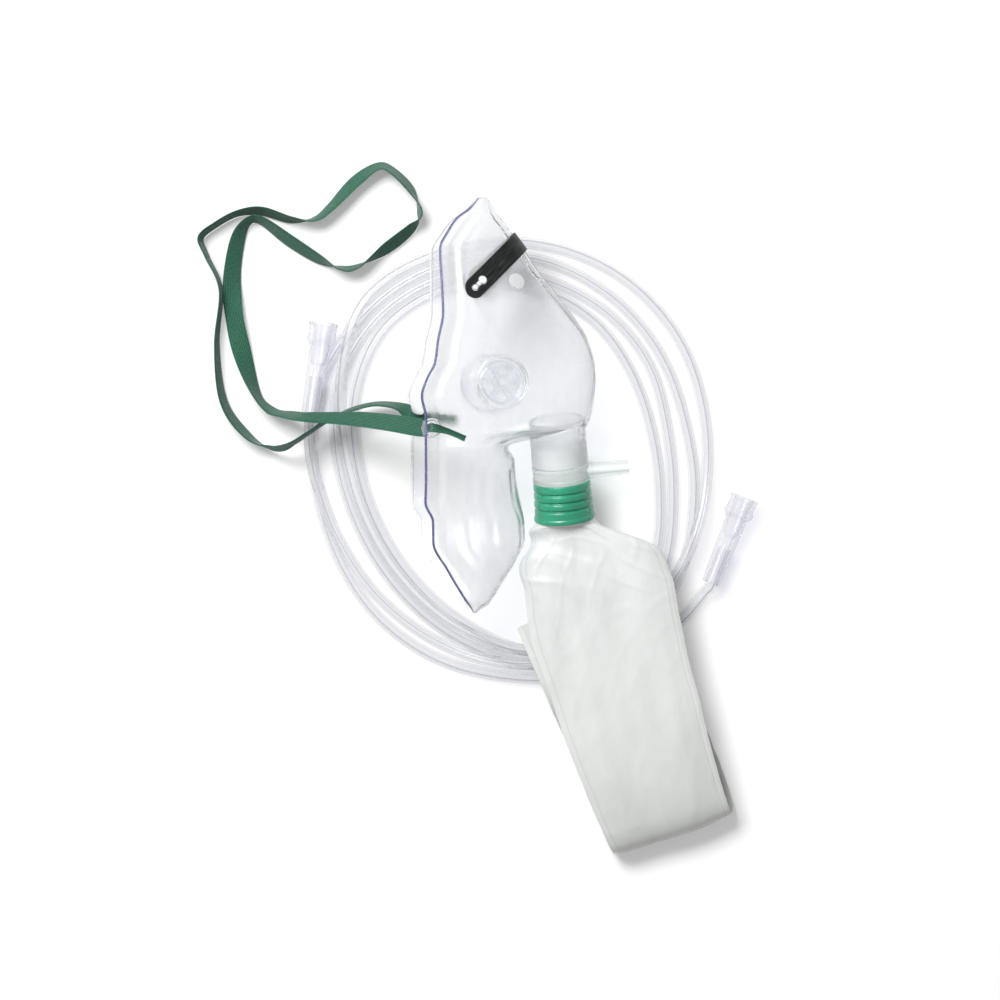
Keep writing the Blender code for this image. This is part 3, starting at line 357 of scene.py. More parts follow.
def add_mesh(name, mesh_maker, material, smooth=40.0):
    mesh = bpy.data.meshes.new(name)
    shape = bmesh.new()
    mesh_maker(shape)
    bmesh.ops.recalc_face_normals(shape, faces=shape.faces)
    shape.to_mesh(mesh)
    shape.free()
    mesh.shade_smooth()
    mesh.set_sharp_from_angle(angle=math.radians(smooth))
    thing = new_object(name, mesh)
    for one in material if isinstance(material, list) else [material]:
        if one:
            mesh.materials.append(one)
    return thing


def skin(shape, rings, uv=None, places=None):
    """Walls between closed rings of vertices, and a cap at each end; places are the UV coordinates."""
    for k, (one, two) in enumerate(zip(rings, rings[1:])):
        for n in range(len(one)):
            face = shape.faces.new((one[n - 1], one[n], two[n], two[n - 1]))
            if uv:
                corners = places[k][n - 1], places[k][n], places[k + 1][n], places[k + 1][n - 1]
                for loop, at in zip(face.loops, corners):
                    loop[uv].uv = at
    shape.faces.new(rings[0])
    shape.faces.new(reversed(rings[-1]))


def settle_in(thing, slot, *nodes):
    """Rides on the part and stands for the nodes, which it hides; its slot is not used."""
    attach(thing, "root")
    if nodes:
        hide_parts(*nodes)
    return thing


def block(inner, outer, low, high):
    """Outline of a ring, or of a disc where the inner radius is 0."""
    return [(inner, low), (outer, low), (outer, high), (inner, high)]


def rounded(profile, radii, steps):
    """A closed (radius, height) outline with each corner rounded by its radius, which is in mm."""
    points = [Vector(p) for p in profile]
    result = []
    for k, corner in enumerate(points):
        radius = (radii[k] if isinstance(radii, (list, tuple)) else radii) * MM
        before, after = points[k - 1], points[(k + 1) % len(points)]
        a, b = (before - corner), (after - corner)
        if radius <= 0 or a.length < 1e-9 or b.length < 1e-9 or abs(corner.x) < 1e-9:
            result.append(corner)
            continue
        reach = min(radius, 0.45 * a.length, 0.45 * b.length)
        start, end = corner + a.normalized() * reach, corner + b.normalized() * reach
        for i in range(steps + 1):
            s = i / steps
            result.append(start * (1 - s) ** 2 + corner * 2 * s * (1 - s) + end * s * s)
    return [tuple(p) for p in result]


def corners_in_mm(corners, steps):
    """A rounded outline from (radius, height, rounding) in mm."""
    return rounded([(r * MM, h * MM) for r, h, _ in corners], [c[2] for c in corners], steps)


def spun(profile, frame, steps, wobble=None):
    """Mesh maker for a closed outline of (radius, height) points turned about a frame's Z axis."""
    def fill(shape):
        rings = []
        for r, h in profile:
            if r < 1e-7:
                rings.append([shape.verts.new(frame @ Vector((0.0, 0.0, h)))])
                continue
            ring = []
            for k in range(steps):
                turn = 2 * math.pi * k / steps
                radius = r + (wobble(r, h, turn) if wobble else 0.0)
                point = Vector((radius * math.cos(turn), radius * math.sin(turn), h))
                ring.append(shape.verts.new(frame @ point))
            rings.append(ring)
        for i in range(len(rings)):
            one, two = rings[i - 1], rings[i]
            if len(one) == 1 and len(two) == 1:
                continue
            for k in range(steps):
                a, b = one[(k - 1) % len(one)], one[k % len(one)]
                c, d = two[k % len(two)], two[(k - 1) % len(two)]
                shape.faces.new([v for n, v in enumerate((a, b, c, d)) if v not in (a, b, c, d)[:n]])

    return fill


def turned(name, profile, frame, steps, material, wobble=None, smooth=40.0):
    return add_mesh(name, spun(profile, frame, steps, wobble), material, smooth)


def joined(name, makers, material, smooth=40.0):
    """One mesh with several closed shells."""
    def fill(shape):
        for maker in makers:
            maker(shape)

    return add_mesh(name, fill, material, smooth)


def cut(thing, operation, operand):
    """An exact boolean that is applied at once."""
    modifier = thing.modifiers.new("cut", "BOOLEAN")
    modifier.operation = operation
    modifier.solver = "EXACT"
    modifier.object = operand
    bpy.context.view_layer.objects.active = thing
    deps = bpy.context.evaluated_depsgraph_get()
    mesh = bpy.data.meshes.new_from_object(thing.evaluated_get(deps))
    old = thing.data
    thing.modifiers.clear()
    thing.data = mesh
    bpy.data.meshes.remove(old)
    bpy.data.objects.remove(operand)


def refinish(thing, material, smooth):
    """Gives a cut mesh its material and its smooth faces again."""
    thing.data.materials.clear()
    thing.data.materials.append(material)
    thing.data.shade_smooth()
    thing.data.set_sharp_from_angle(angle=math.radians(smooth))


def carried_frames(points):
    """A frame at each point of a route, without twist about the route."""
    last = len(points) - 1
    tangents = [(points[min(k + 1, last)] - points[max(k - 1, 0)]).normalized() for k in range(last + 1)]
    side = tangents[0].cross(Vector((0.0, 0.0, 1.0))).normalized()
    frames = []
    for point, tangent in zip(points, tangents):
        side = (side - tangent * side.dot(tangent)).normalized()
        frames.append((point, side, tangent.cross(side).normalized(), tangent))
    return frames


# The mask's form

def half_section(at):
    """Forward and sideways distances of the mask's outer wall, from the rim's edge to the front."""
    half_width = 0.5 * MASK_WIDTH * eased(SIDE_EDGE, at)
    rim = MASK_DEPTH * eased(RIM_EDGE, at) - half_width * math.sin(MASK_ROLL)
    depth = MASK_DEPTH * eased(FRONT_EDGE, at) / math.cos(MASK_ROLL) - rim
    flare_depth = min(RIM_FLARE_DEPTH, 0.4 * depth)
    flare = RIM_FLARE * 2 * half_width / MASK_WIDTH
    turns = np.linspace(0.0, math.pi / 2, SECTION_STEPS)
    bend = 2 / eased(SECTION_POWER, at)
    forward = depth * np.sin(turns) ** bend
    sideways = half_width * np.clip(np.cos(turns), 0, 1) ** bend
    sideways = sideways + flare * np.clip(1 - forward / flare_depth, 0, 1) ** 2
    return rim + forward, sideways


@functools.cache
def middle_height():
    forward, sideways = half_section(VALVE_AT)
    side, ahead = np.interp([VALVE_FORWARD, VALVE_FORWARD + MM], forward, sideways)
    tilt = abs(math.atan((side - ahead) / MM) - MASK_ROLL)
    reach = VALVE_RISE * math.cos(tilt) + VALVE_OD / 2 * math.sin(tilt)
    return side * math.cos(MASK_ROLL) + VALVE_FORWARD * math.sin(MASK_ROLL) + reach


def place(at, forward, sideways):
    x = RIM_X + forward * math.cos(MASK_ROLL) + sideways * math.sin(MASK_ROLL)
    y = NOSE_Y - at * MASK_LENGTH
    z = middle_height() - forward * math.sin(MASK_ROLL) + sideways * math.cos(MASK_ROLL)
    return Vector((x, y, z))


def wall_point(at, forward, side):
    ahead, sideways = half_section(at)
    return place(at, forward, side * np.interp(forward, ahead, sideways))


def outward_frame(origin, along, across, side):
    out = along.cross(across).normalized()
    if out.z * side < 0:
        out = -out
    return frame_at(origin, (along - out * along.dot(out)).normalized(), out)


def wall_frame(at, forward, side):
    step = 0.5 * MM
    step_at = step / MASK_LENGTH
    along = wall_point(at + step_at, forward, side) - wall_point(at - step_at, forward, side)
    across = wall_point(at, forward + step, side) - wall_point(at, forward - step, side)
    return outward_frame(wall_point(at, forward, side), along, across, side)


def section_points(at, steps):
    """The whole outer section from the upper rim over the front to the lower rim, in even steps."""
    forward, sideways = half_section(at)
    points = [place(at, f, s) for f, s in zip(forward, sideways)]
    points += [place(at, f, -s) for f, s in zip(forward[-2::-1], sideways[-2::-1])]
    return even_points(np.array([p[:] for p in points]), steps)


def port_frame():
    root = place(PORT_AT, PORT_FORWARD, 0.0)
    level = Vector((math.cos(PORT_TURN), math.sin(PORT_TURN), 0.0))
    axis = Vector((math.sin(PORT_TURN), -math.cos(PORT_TURN), 0.0)) * math.cos(PORT_DROOP)
    axis.z = -math.sin(PORT_DROOP)
    return frame_at(root, level, axis)


def connector_frame(mouth, heading, rise):
    level = Vector((math.sin(heading), -math.cos(heading), 0.0))
    axis = level * math.cos(rise) + Vector((0.0, 0.0, math.sin(rise)))
    side = Vector((math.cos(heading), math.sin(heading), 0.0))
    lift = Vector((0.0, 0.0, CONNECTOR_MOUTH_D / 2 * math.cos(rise)))
    return frame_at(mouth + lift, side, axis)


def eyelet_frame(side):
    at = EYELET_AT if side > 0 else FAR_EYELET_AT
    forward, _ = half_section(at)
    return wall_frame(at, forward[0] + (NEAR_EYELET_IN if side > 0 else EYELET_IN), side)


def front_point(at):
    forward, _ = half_section(at)
    return place(at, forward[-1], 0.0)


def clip_plane():
    step = 2.0 * MM / MASK_LENGTH
    down = front_point(CLIP_AT + step) - front_point(CLIP_AT - step)
    return front_point(CLIP_AT), Matrix.Rotation(CLIP_TURN, 3, "Z") @ down.normalized()


@functools.cache
def clip_curve(across):
    """Outer wall cut by a plane square to the bridge: arc from the bridge, and points, lower side first."""
    middle, down = clip_plane()
    halves = {}
    for side in (1, -1):
        points = []
        for share in np.linspace(1.0, CLIP_RIM_SHARE, CLIP_SAMPLES):
            low, high = 0.0, CLIP_LOWEST
            for _ in range(CLIP_HALVINGS):
                at = (low + high) / 2
                forward, sideways = half_section(at)
                index = share * (len(forward) - 1)
                ahead = np.interp(index, range(len(forward)), forward)
                aside = np.interp(index, range(len(forward)), sideways)
                point = place(at, ahead, side * aside)
                if (point - middle).dot(down) < across:
                    low = at
                else:
                    high = at
            points.append(point)
        halves[side] = points
    points = halves[-1][:0:-1] + halves[1]
    arc = np.concatenate(([0.0], np.cumsum([(b - a).length for a, b in zip(points, points[1:])])))
    return arc - arc[len(halves[-1]) - 1], np.array([p[:] for p in points])


def clip_wall(along, across):
    arc, points = clip_curve(round(across, 7))
    return Vector([np.interp(along, arc, points[:, k]) for k in range(3)])


def clip_frame(along, across, side):
    step = 0.5 * MM
    one = clip_wall(along + step, across) - clip_wall(along - step, across)
    two = clip_wall(along, across + step) - clip_wall(along, across - step)
    out = one.cross(two).normalized()
    middle, _ = clip_plane()
    if out.dot(clip_wall(along, across) - middle + Vector((20 * MM, 0.0, 0.0))) < 0:
        out = -out
    return frame_at(clip_wall(along, across), one.normalized() * side, out)


# Materials

# Rays that passed more walls than this go straight on
DEEP_RAY = 7.5
CLOUDS = 220.0
EVERY_WAY = (1.0, 1.0, 1.0)
DOWN_THE_WALL = (1.0, 0.4, 1.0)
IN_MM = (1000.0, 1000.0, 1.0)
# Wave scale at which one wave is 1 mm wide
THREAD = 0.314


class Nodes:
    """A node tree whose nodes are added one by one."""

    def __init__(self, tree):
        self.tree = tree

    def put(self, value, socket):
        """Sets a constant on a socket, or links an output to it."""
        if isinstance(value, bpy.types.NodeSocket):
            self.tree.links.new(value, socket)
        else:
            socket.default_value = value

    def node(self, kind, **values):
        """A node of this kind, each value put on its socket or setting of that name."""
        node = self.tree.nodes.new(kind)
        for key, value in values.items():
            socket = key.replace("_", " ")
            if socket in node.inputs:
                self.put(value, node.inputs[socket])
            else:
                setattr(node, key, value)
        return node

    def math(self, operation, *values):
        node = self.node("ShaderNodeMath", operation=operation)
        for value, socket in zip(values, node.inputs):
            self.put(value, socket)
        return node.outputs[0]

    def range(self, source, low, high, out_low, out_high):
        return self.node(
            "ShaderNodeMapRange", Value=source, From_Min=low, From_Max=high, To_Min=out_low, To_Max=out_high
        ).outputs["Result"]


class Paint(Nodes):
    """A Principled material."""

    def __init__(self, name, colour, roughness, **values):
        self.material = bpy.data.materials.new(name)
        self.material.use_nodes = True
        super().__init__(self.material.node_tree)
        self.shader = self.tree.nodes["Principled BSDF"]
        self.output = self.tree.nodes["Material Output"]
        self.set(Base_Color=(*colour, 1.0), Roughness=roughness, **values)

    def set(self, **values):
        for key, value in values.items():
            self.put(value, self.shader.inputs[key.replace("_", " ")])

    def place(self, kind, scale):
        at = self.node("ShaderNodeTexCoord").outputs[kind]
        return self.node("ShaderNodeMapping", Vector=at, Scale=scale).outputs["Vector"]

    def noise(self, scale, detail, roughness=0.5, kind="Object", stretch=EVERY_WAY):
        at = self.place(kind, stretch)
        texture = self.node("ShaderNodeTexNoise", Vector=at, Scale=scale, Detail=detail, Roughness=roughness)
        return texture.outputs["Fac"]

    def ramp(self, source, *stops):
        ramp = self.node("ShaderNodeValToRGB", Fac=source)
        elements = ramp.color_ramp.elements
        while len(elements) < len(stops):
            elements.new(0.5)
        for element, (at, *colour) in zip(elements, stops):
            element.position = at
            element.color = (*colour, 1.0)
        return ramp.outputs["Color"]

    def around(self, point, inner, outer, near, far):
        """A value that goes from near to far with the distance from a point."""
        away = self.node("ShaderNodeVectorMath", operation="DISTANCE")
        self.put(self.node("ShaderNodeTexCoord").outputs["Object"], away.inputs[0])
        self.put(point, away.inputs[1])
        return self.range(away.outputs["Value"], inner, outer, near, far)

    def multiplied(self, one, two):
        """The product of two colours."""
        return self.node(
            "ShaderNodeMix", data_type="RGBA", blend_type="MULTIPLY", Factor=1.0, A=one, B=two
        ).outputs["Result"]

    def bump(self, height, strength, distance):
        bump = self.node("ShaderNodeBump", Strength=strength, Distance=distance, Height=height)
        self.set(Normal=bump.outputs["Normal"])

    def tint(self, stops):
        """Colours from face on to edge on."""
        facing = self.node("ShaderNodeLayerWeight", Blend=0.5).outputs["Facing"]
        self.set(Base_Color=self.ramp(facing, *stops))

    def let_light_through(self, *colour):
        """Shadow and diffuse rays, and rays that already passed many walls, go straight on, tinted."""
        rays = self.node("ShaderNodeLightPath").outputs
        soft = self.math("MAXIMUM", rays["Is Shadow Ray"], rays["Is Diffuse Ray"])
        deep = self.math("GREATER_THAN", rays["Ray Depth"], DEEP_RAY)
        mix = self.node("ShaderNodeMixShader", Fac=self.math("MAXIMUM", soft, deep))
        clear = self.node("ShaderNodeBsdfTransparent", Color=(*colour, 1.0))
        self.put(self.shader.outputs["BSDF"], mix.inputs[1])
        self.put(clear.outputs["BSDF"], mix.inputs[2])
        self.put(mix.outputs["Shader"], self.output.inputs["Surface"])
        return self.material


def clear_paint(name, stops, roughness, ior, milk=0.0):
    """Clear moulded plastic: faint tint face on, stronger towards the edges."""
    paint = Paint(name, stops[0][1:], roughness, Transmission_Weight=1.0 - milk, IOR=ior)
    paint.tint(stops)
    clouds = paint.noise(CLOUDS, 2.0)
    paint.set(Roughness=paint.range(clouds, 0.35, 0.7, roughness * 0.7, roughness * 1.5))
    return paint


def clear_plastic(name, stops, shade, roughness, ior=1.45, milk=0.0, coat=0.0):
    paint = clear_paint(name, stops, roughness, ior, milk)
    paint.set(Coat_Weight=coat, Coat_Roughness=0.15)
    return paint.let_light_through(*shade)


def mask_material():
    """Clear PVC with milky streaks down the wall: clear over the far tail, dull by the port's inner end."""
    stops = (
        (0.0, 0.935, 0.938, 0.944), (0.5, 0.925, 0.929, 0.937), (0.85, 0.89, 0.895, 0.92),
        (1.0, 0.84, 0.85, 0.90),
    )
    paint = clear_paint("clear_pvc", stops, 0.14, 1.42)
    paint.bump(paint.noise(60.0, 2.0), 0.22, 0.4 * MM)
    clear = paint.range(paint.noise(26.0, 4.0, 0.55, stretch=DOWN_THE_WALL), 0.42, 0.68, 0.96, 0.70)
    port = port_frame() @ Vector((0.0, 0.0, PORT_INSIDE))
    tail = eyelet_frame(-1).translation + Vector((8 * MM, 0.0, 0.0))
    above_tail = tail + Vector((0.0, 0.0, 2 * abs(tail.z - middle_height())))
    clear = paint.math("MAXIMUM", clear, paint.around(tail, 7 * MM, 13 * MM, 0.97, 0.0))
    clear = paint.math("MAXIMUM", clear, paint.around(above_tail, 8 * MM, 14 * MM, 0.97, 0.0))
    clear = paint.math("MINIMUM", clear, paint.around(port, 12 * MM, 15 * MM, 0.7, 1.0))
    rough = paint.range(paint.noise(CLOUDS, 2.0), 0.35, 0.7, 0.10, 0.21)
    rough = paint.math("MAXIMUM", rough, paint.around(port, 12 * MM, 15 * MM, 0.42, 0.0))
    paint.set(Transmission_Weight=clear, Roughness=rough, Specular_Tint=(0.4, 0.4, 0.4, 1.0))
    return paint.let_light_through(0.94, 0.945, 0.955)


def silicone_material():
    paint = Paint("silicone", (0.90, 0.915, 0.93), 0.12, Transmission_Weight=0.95, IOR=1.4)
    paint.bump(paint.noise(900.0, 3.0), 0.15, 0.1 * MM)
    colour = paint.ramp(paint.noise(150.0, 2.0), (0.3, 0.90, 0.915, 0.93), (0.7, 0.94, 0.95, 0.96))
    paint.set(Base_Color=colour)
    return paint.let_light_through(0.92, 0.93, 0.94)


def frosted_material():
    paint = Paint("frosted_plastic", (0.965, 0.98, 0.975), 0.38, Transmission_Weight=0.72, IOR=1.38)
    paint.tint(((0.0, 0.965, 0.98, 0.975), (0.6, 0.92, 0.945, 0.94), (1.0, 0.72, 0.79, 0.78)))
    paint.bump(paint.noise(1800.0, 2.0), 0.12, 0.05 * MM)
    return paint.let_light_through(0.93, 0.96, 0.95)


def collar_material():
    paint = Paint(
        "green_collar", (0.03, 0.36, 0.19), 0.3, Specular_IOR_Level=0.55, Coat_Weight=0.35,
        Coat_Roughness=0.16, Subsurface_Weight=0.1, Subsurface_Radius=(0.4 * MM, 1.6 * MM, 0.9 * MM),
        Subsurface_Scale=1.0,
    )
    greens = (0.25, 0.012, 0.23, 0.125), (0.55, 0.020, 0.32, 0.18), (0.8, 0.030, 0.40, 0.23)
    paint.set(
        Base_Color=paint.ramp(paint.noise(70.0, 3.0), *greens),
        Roughness=paint.range(paint.noise(400.0, 3.0), 0.3, 0.7, 0.22, 0.42),
    )
    paint.bump(paint.noise(700.0, 3.0), 0.12, 0.08 * MM)
    return paint.material


def clip_material():
    paint = Paint("dark_aluminium", (0.05, 0.058, 0.056), 0.36, Metallic=0.85)
    brushed = paint.noise(130.0, 5.0, 0.65, kind="UV", stretch=(1.0, 0.35, 1.0))
    greys = (0.3, 0.010, 0.012, 0.012), (0.55, 0.032, 0.036, 0.035), (0.75, 0.16, 0.17, 0.168)
    paint.set(Base_Color=paint.ramp(brushed, *greys), Roughness=paint.range(brushed, 0.25, 0.75, 0.3, 0.5))
    paint.bump(brushed, 0.2, 0.05 * MM)
    return paint.material


def film_material():
    """Frosted film: paler at the gathered neck, greyed by painted shade towards the fold and where it lies
    doubled, with a line along each weld.
    """
    paint = Paint(
        "bag_film", (0.80, 0.83, 0.80), 0.3, Specular_IOR_Level=0.5, Coat_Weight=0.15, Coat_Roughness=0.22
    )
    along = paint.node("ShaderNodeSeparateXYZ", Vector=paint.place("UV", EVERY_WAY)).outputs
    # Painted shade: the film darkens along the bag towards its fold, where it lies lower and gets less light
    length = paint.ramp(
        along["Y"], (0.0, 0.78, 0.80, 0.79), (0.15, 0.79, 0.81, 0.795), (0.35, 0.74, 0.755, 0.74),
        (0.5, 0.655, 0.67, 0.65), (0.62, 0.60, 0.61, 0.585), (1.0, 0.74, 0.76, 0.74),
    )
    clouds = paint.noise(34.0, 5.0, 0.6, stretch=DOWN_THE_WALL)
    cloudy = paint.ramp(clouds, (0.34, 0.83, 0.835, 0.83), (0.5, 0.95, 0.952, 0.95), (0.62, 1.0, 1.0, 1.0))
    weld = paint.ramp(
        paint.math("ABSOLUTE", along["X"]), (0.0, 0.97, 0.97, 0.97), (0.885, 0.97, 0.97, 0.97),
        (0.9, 0.86, 0.86, 0.855), (0.92, 1.0, 1.0, 1.0),
    )
    paint.set(
        Base_Color=paint.multiplied(paint.multiplied(length, cloudy), weld),
        Roughness=paint.range(paint.noise(90.0, 4.0), 0.3, 0.7, 0.26, 0.46),
    )
    paint.bump(paint.noise(110.0, 5.0, 0.6, stretch=DOWN_THE_WALL), 0.5, 0.6 * MM)
    return paint.material


def elastic_material():
    """Flat woven elastic: fine ribs along the band, cross threads and fuzz, with painted shade darkening the
    furrows.
    """
    paint = Paint(
        "green_elastic", (0.055, 0.22, 0.135), 0.85, Specular_IOR_Level=0.25, Sheen_Weight=0.35,
        Sheen_Roughness=0.4,
    )
    threads = [
        paint.node(
            "ShaderNodeTexWave", wave_type="BANDS", bands_direction=way, wave_profile="SIN",
            Scale=THREAD / width, Distortion=distortion, Detail=detail, Vector=paint.place("UV", IN_MM),
        ).outputs["Fac"]
        for way, width, distortion, detail in (("X", 0.7, 0.5, 1.0), ("Y", 0.5, 0.8, 2.0))
    ]
    fuzz = paint.range(paint.noise(1600.0, 3.0), 0.3, 0.7, -0.15, 0.2)
    weave = paint.math("ADD", paint.math("MULTIPLY", *threads), fuzz)
    # Colour from the weave: the threads' tone, with painted shade darkening the furrows between them
    greens = (0.0, 0.016, 0.075, 0.048), (0.45, 0.036, 0.145, 0.092), (1.0, 0.095, 0.26, 0.175)
    paint.set(Base_Color=paint.ramp(weave, *greens))
    paint.bump(weave, 0.6, 0.18 * MM)
    return paint.material


CLEAR = mask_material()
RIM = clear_plastic(
    "rim_edge", ((0.0, 0.15, 0.165, 0.34), (0.6, 0.12, 0.135, 0.29), (1.0, 0.08, 0.09, 0.22)),
    (0.75, 0.77, 0.9), 0.25, milk=0.5,
)
STUD = clear_plastic(
    "milky_pvc", ((0.0, 0.93, 0.935, 0.94), (0.7, 0.88, 0.885, 0.9), (1.0, 0.75, 0.76, 0.8)),
    (0.9, 0.9, 0.92), 0.25, milk=0.75,
)
VALVE_EDGE = clear_plastic(
    "valve_edge", ((0.0, 0.30, 0.32, 0.46), (1.0, 0.2, 0.22, 0.36)), (0.85, 0.86, 0.92), 0.3, 1.3, 0.5
)
GATE = clear_plastic(
    "cloudy_pvc", ((0.0, 0.96, 0.962, 0.968), (1.0, 0.86, 0.87, 0.9)), (0.94, 0.94, 0.95), 0.3, 1.3, 0.3
)
TUBING = clear_plastic(
    "clear_tubing",
    (
        (0.0, 0.942, 0.944, 0.95), (0.55, 0.908, 0.911, 0.918), (0.85, 0.845, 0.85, 0.86),
        (1.0, 0.72, 0.73, 0.75),
    ),
    (0.92, 0.92, 0.93), 0.05, 1.05, 0.1, 0.3,
)
# Dark grey on the bore's rib: painted shade for the dark line that the clear rib shows along the tube
TUBE_RIB_SHADE = clear_plastic(
    "tubing_rib_shade", ((0.0, 0.50, 0.505, 0.55), (1.0, 0.40, 0.405, 0.45)), (0.85, 0.85, 0.87), 0.05, 1.05, 0.2
)
CONNECTOR = clear_plastic(
    "clear_connector",
    ((0.0, 0.92, 0.918, 0.938), (0.6, 0.87, 0.868, 0.90), (0.85, 0.79, 0.79, 0.84), (1.0, 0.66, 0.66, 0.73)),
    (0.9, 0.9, 0.93), 0.1, 1.1, 0.18, 0.4,
)
SILICONE = silicone_material()
FROSTED = frosted_material()
GREEN = collar_material()
METAL = clip_material()
FILM = film_material()
ELASTIC = elastic_material()


# Tubing, the first of the two cords

TUBE_SPACE = 0.06 * MM
TUBE_SINK = 0.06 * MM
# Places of the tube that lie nearer than this along it belong to one turn
SAME_TURN = 14 * MM
TUBE_RIB = 0.35 * MM


def settled(points, fixed, rounds):
    """Lets the turns sink on the table and on each other until none share a place."""
    points = np.array(points)
    count = len(points)
    start = points.copy()
    near = int(SAME_TURN / np.linalg.norm(points[1] - points[0])) + 2
    apart = TUBE_OD + TUBE_SPACE
    for turn in range(rounds):
        if turn % 30 == 0:
            gap = points[:, None, :2] - points[None, :, :2]
            one, two = np.nonzero(np.hypot(gap[..., 0], gap[..., 1]) < 1.5 * apart)
            keep = two - one > near
            one, two = one[keep], two[keep]
        between = points[one] - points[two]
        length = np.maximum(np.linalg.norm(between, axis=1), 0.01 * MM)
        short = np.clip(apart - length, 0, None)[:, None]
        move = between / length[:, None] * short * 0.35
        move[:, :2] *= 0.5
        push = np.zeros_like(points)
        np.add.at(push, one, move)
        np.add.at(push, two, -move)
        points = points + np.clip(push, -0.5 * MM, 0.5 * MM)
        points[:, 2] -= TUBE_SINK * (1 - turn / rounds)
        points[:, :2] += (start[:, :2] - points[:, :2]) * 0.02
        middles = (points[:-2] + points[2:]) / 2
        points[1:-1, 2] += (middles[:, 2] - points[1:-1, 2]) * 0.25
        points[1:-1, :2] += (middles[:, :2] - points[1:-1, :2]) * 0.08
        points[:, 2] = np.maximum(points[:, 2], TUBE_OD / 2 + 0.02 * MM)
        points[:fixed] = start[:fixed]
        points[count - fixed:] = start[count - fixed:]
    for _ in range(8):
        beside = (points[fixed - 1:-fixed - 1] + points[fixed + 1:1 - fixed]) / 4
        points[fixed:-fixed] = points[fixed:-fixed] / 2 + beside
    return points


def resampled(points, step):
    points = np.array(points)
    length = arc_lengths(points)[-1]
    return even_points(points, int(round(length / step))), length


def coil_points():
    """The turns from above, each a little lower than the one before, so that they settle in that order."""
    radii = [radius for turn in COIL_TURNS for radius in turn]
    points = []
    for k, radius in enumerate(radii):
        turn = math.radians(COIL_START + COIL_STEP * k)
        height = TUBE_OD / 2 / MM + COIL_DROP * (len(radii) - k) * COIL_STEP / 360
        x, y = radius * math.cos(turn), radius * math.sin(turn)
        points.append((COIL_MIDDLE[0] + x, COIL_MIDDLE[1] + y, height))
    return points


def tubing_points():
    left = connector_frame(LEFT_MOUTH, LEFT_HEADING, LEFT_RISE)
    right = connector_frame(RIGHT_MOUTH, RIGHT_HEADING, 0.0)
    socket_end = CONNECTOR_LENGTH - CONNECTOR_SOCKET + GAP
    reach = CONNECTOR_LENGTH + 2 * MM
    low = TUBE_OD / 2 / MM + 0.1
    depths = socket_end, (socket_end + reach) / 2, reach
    inside = [left @ Vector((0.0, 0.0, h)) / MM for h in depths]
    outside = [right @ Vector((0.0, 0.0, h)) / MM for h in depths[::-1]]
    route = inside + [(*p, inside[-1].z) for p in LEFT_LEAD] + coil_points()
    route += [(*p, low) for p in RIGHT_LEAD] + outside
    smooth = smooth_route([tuple(v * MM for v in p) for p in route], 24)
    points, _ = resampled(smooth, 2.6 * MM)
    points = settled(points, 9, 300)
    return resampled(smooth_route(list(points), 3), 2.0 * MM)


def tube_wall(name, points, material):
    """A tube open at both ends; its bore has one thin rib, coloured dark grey as painted shade, which shows
    as a line along the tube.
    """
    outer_steps, inner_steps = 28, 16
    rib = 3
    points = [Vector(p) for p in points]
    frames = carried_frames(points)

    def fill(shape):
        loops = []
        for n, (point, side, up, _) in enumerate(frames):
            roll = 0.45 * math.sin(n * 0.021) + 0.25 * math.sin(n * 0.0083 + 1.0)

            def ring(steps, radius, rib_height):
                verts = []
                for k in range(steps):
                    t = 2 * math.pi * k / steps + roll
                    reach = radius - (rib_height if k == rib else 0.0)
                    verts.append(shape.verts.new(point + (side * math.cos(t) + up * math.sin(t)) * reach))
                return verts

            loops.append((ring(outer_steps, TUBE_OD / 2, 0.0), ring(inner_steps, TUBE_BORE / 2, TUBE_RIB)))
        for one, two in zip(loops, loops[1:]):
            for level, steps in ((0, outer_steps), (1, inner_steps)):
                for k in range(steps):
                    a, b = one[level][k - 1], one[level][k]
                    c, d = two[level][k], two[level][k - 1]
                    face = shape.faces.new((a, b, c, d) if level == 0 else (d, c, b, a))
                    # The rib's faces take the dark grey of painted shade
                    face.material_index = 1 if level == 1 and k == rib else 0
        for end in (loops[0], loops[-1]):
            for k in range(outer_steps):
                inner = int(k * inner_steps / outer_steps)
                before = int((k - 1) % outer_steps * inner_steps / outer_steps)
                corners = [end[0][k - 1], end[0][k], end[1][inner]]
                if inner != before:
                    corners.append(end[1][before])
                shape.faces.new(corners)

    return add_mesh(name, fill, material, 60.0)


def connector_outline():
    """Corners of the connector's section in mm, each with its rounding."""
    mouth = CONNECTOR_MOUTH_D / 2 / MM
    body = CONNECTOR_BODY_D / 2 / MM
    tail = CONNECTOR_TAIL_D / 2 / MM
    socket = TUBE_OD / 2 / MM + 0.15
    throat = CONNECTOR_THROAT_D / 2 / MM
    grip, length, deep = CONNECTOR_GRIP / MM, CONNECTOR_LENGTH / MM, CONNECTOR_FUNNEL / MM
    socket_end = length - CONNECTOR_SOCKET / MM
    corners = (
        (CONNECTOR_FUNNEL_D / 2 / MM, 0.0, 0.3), (mouth, 0.0, 0.35), (mouth - 0.1, 1.3, 0.3),
        (mouth - 0.6, 1.8, 0.3), (mouth - 0.6, grip - 2.5, 0.5), (mouth, grip - 1.6, 0.4),
        (mouth, grip - 0.4, 0.3), (body, grip + 1.2, 0.9), (body - 0.25, grip + 10, 0.5),
        (tail + 0.3, length - 2.4, 0.5), (tail, length, 0.35), (socket, length, 0.25),
        (socket, socket_end, 0.2), (throat, socket_end, 0.3), (throat, deep + 1.2, 0.3),
        (throat + 1.2, deep, 0.5),
    )
    return corners_in_mm(corners, 4)


GRIP_FLUTE_COUNT = 10
GRIP_FLUTE_RISE = 0.16 * MM
GRIP_FLUTES_FROM = 1.0 * MM
GRIP_FLUTES_SHORT = 0.6 * MM


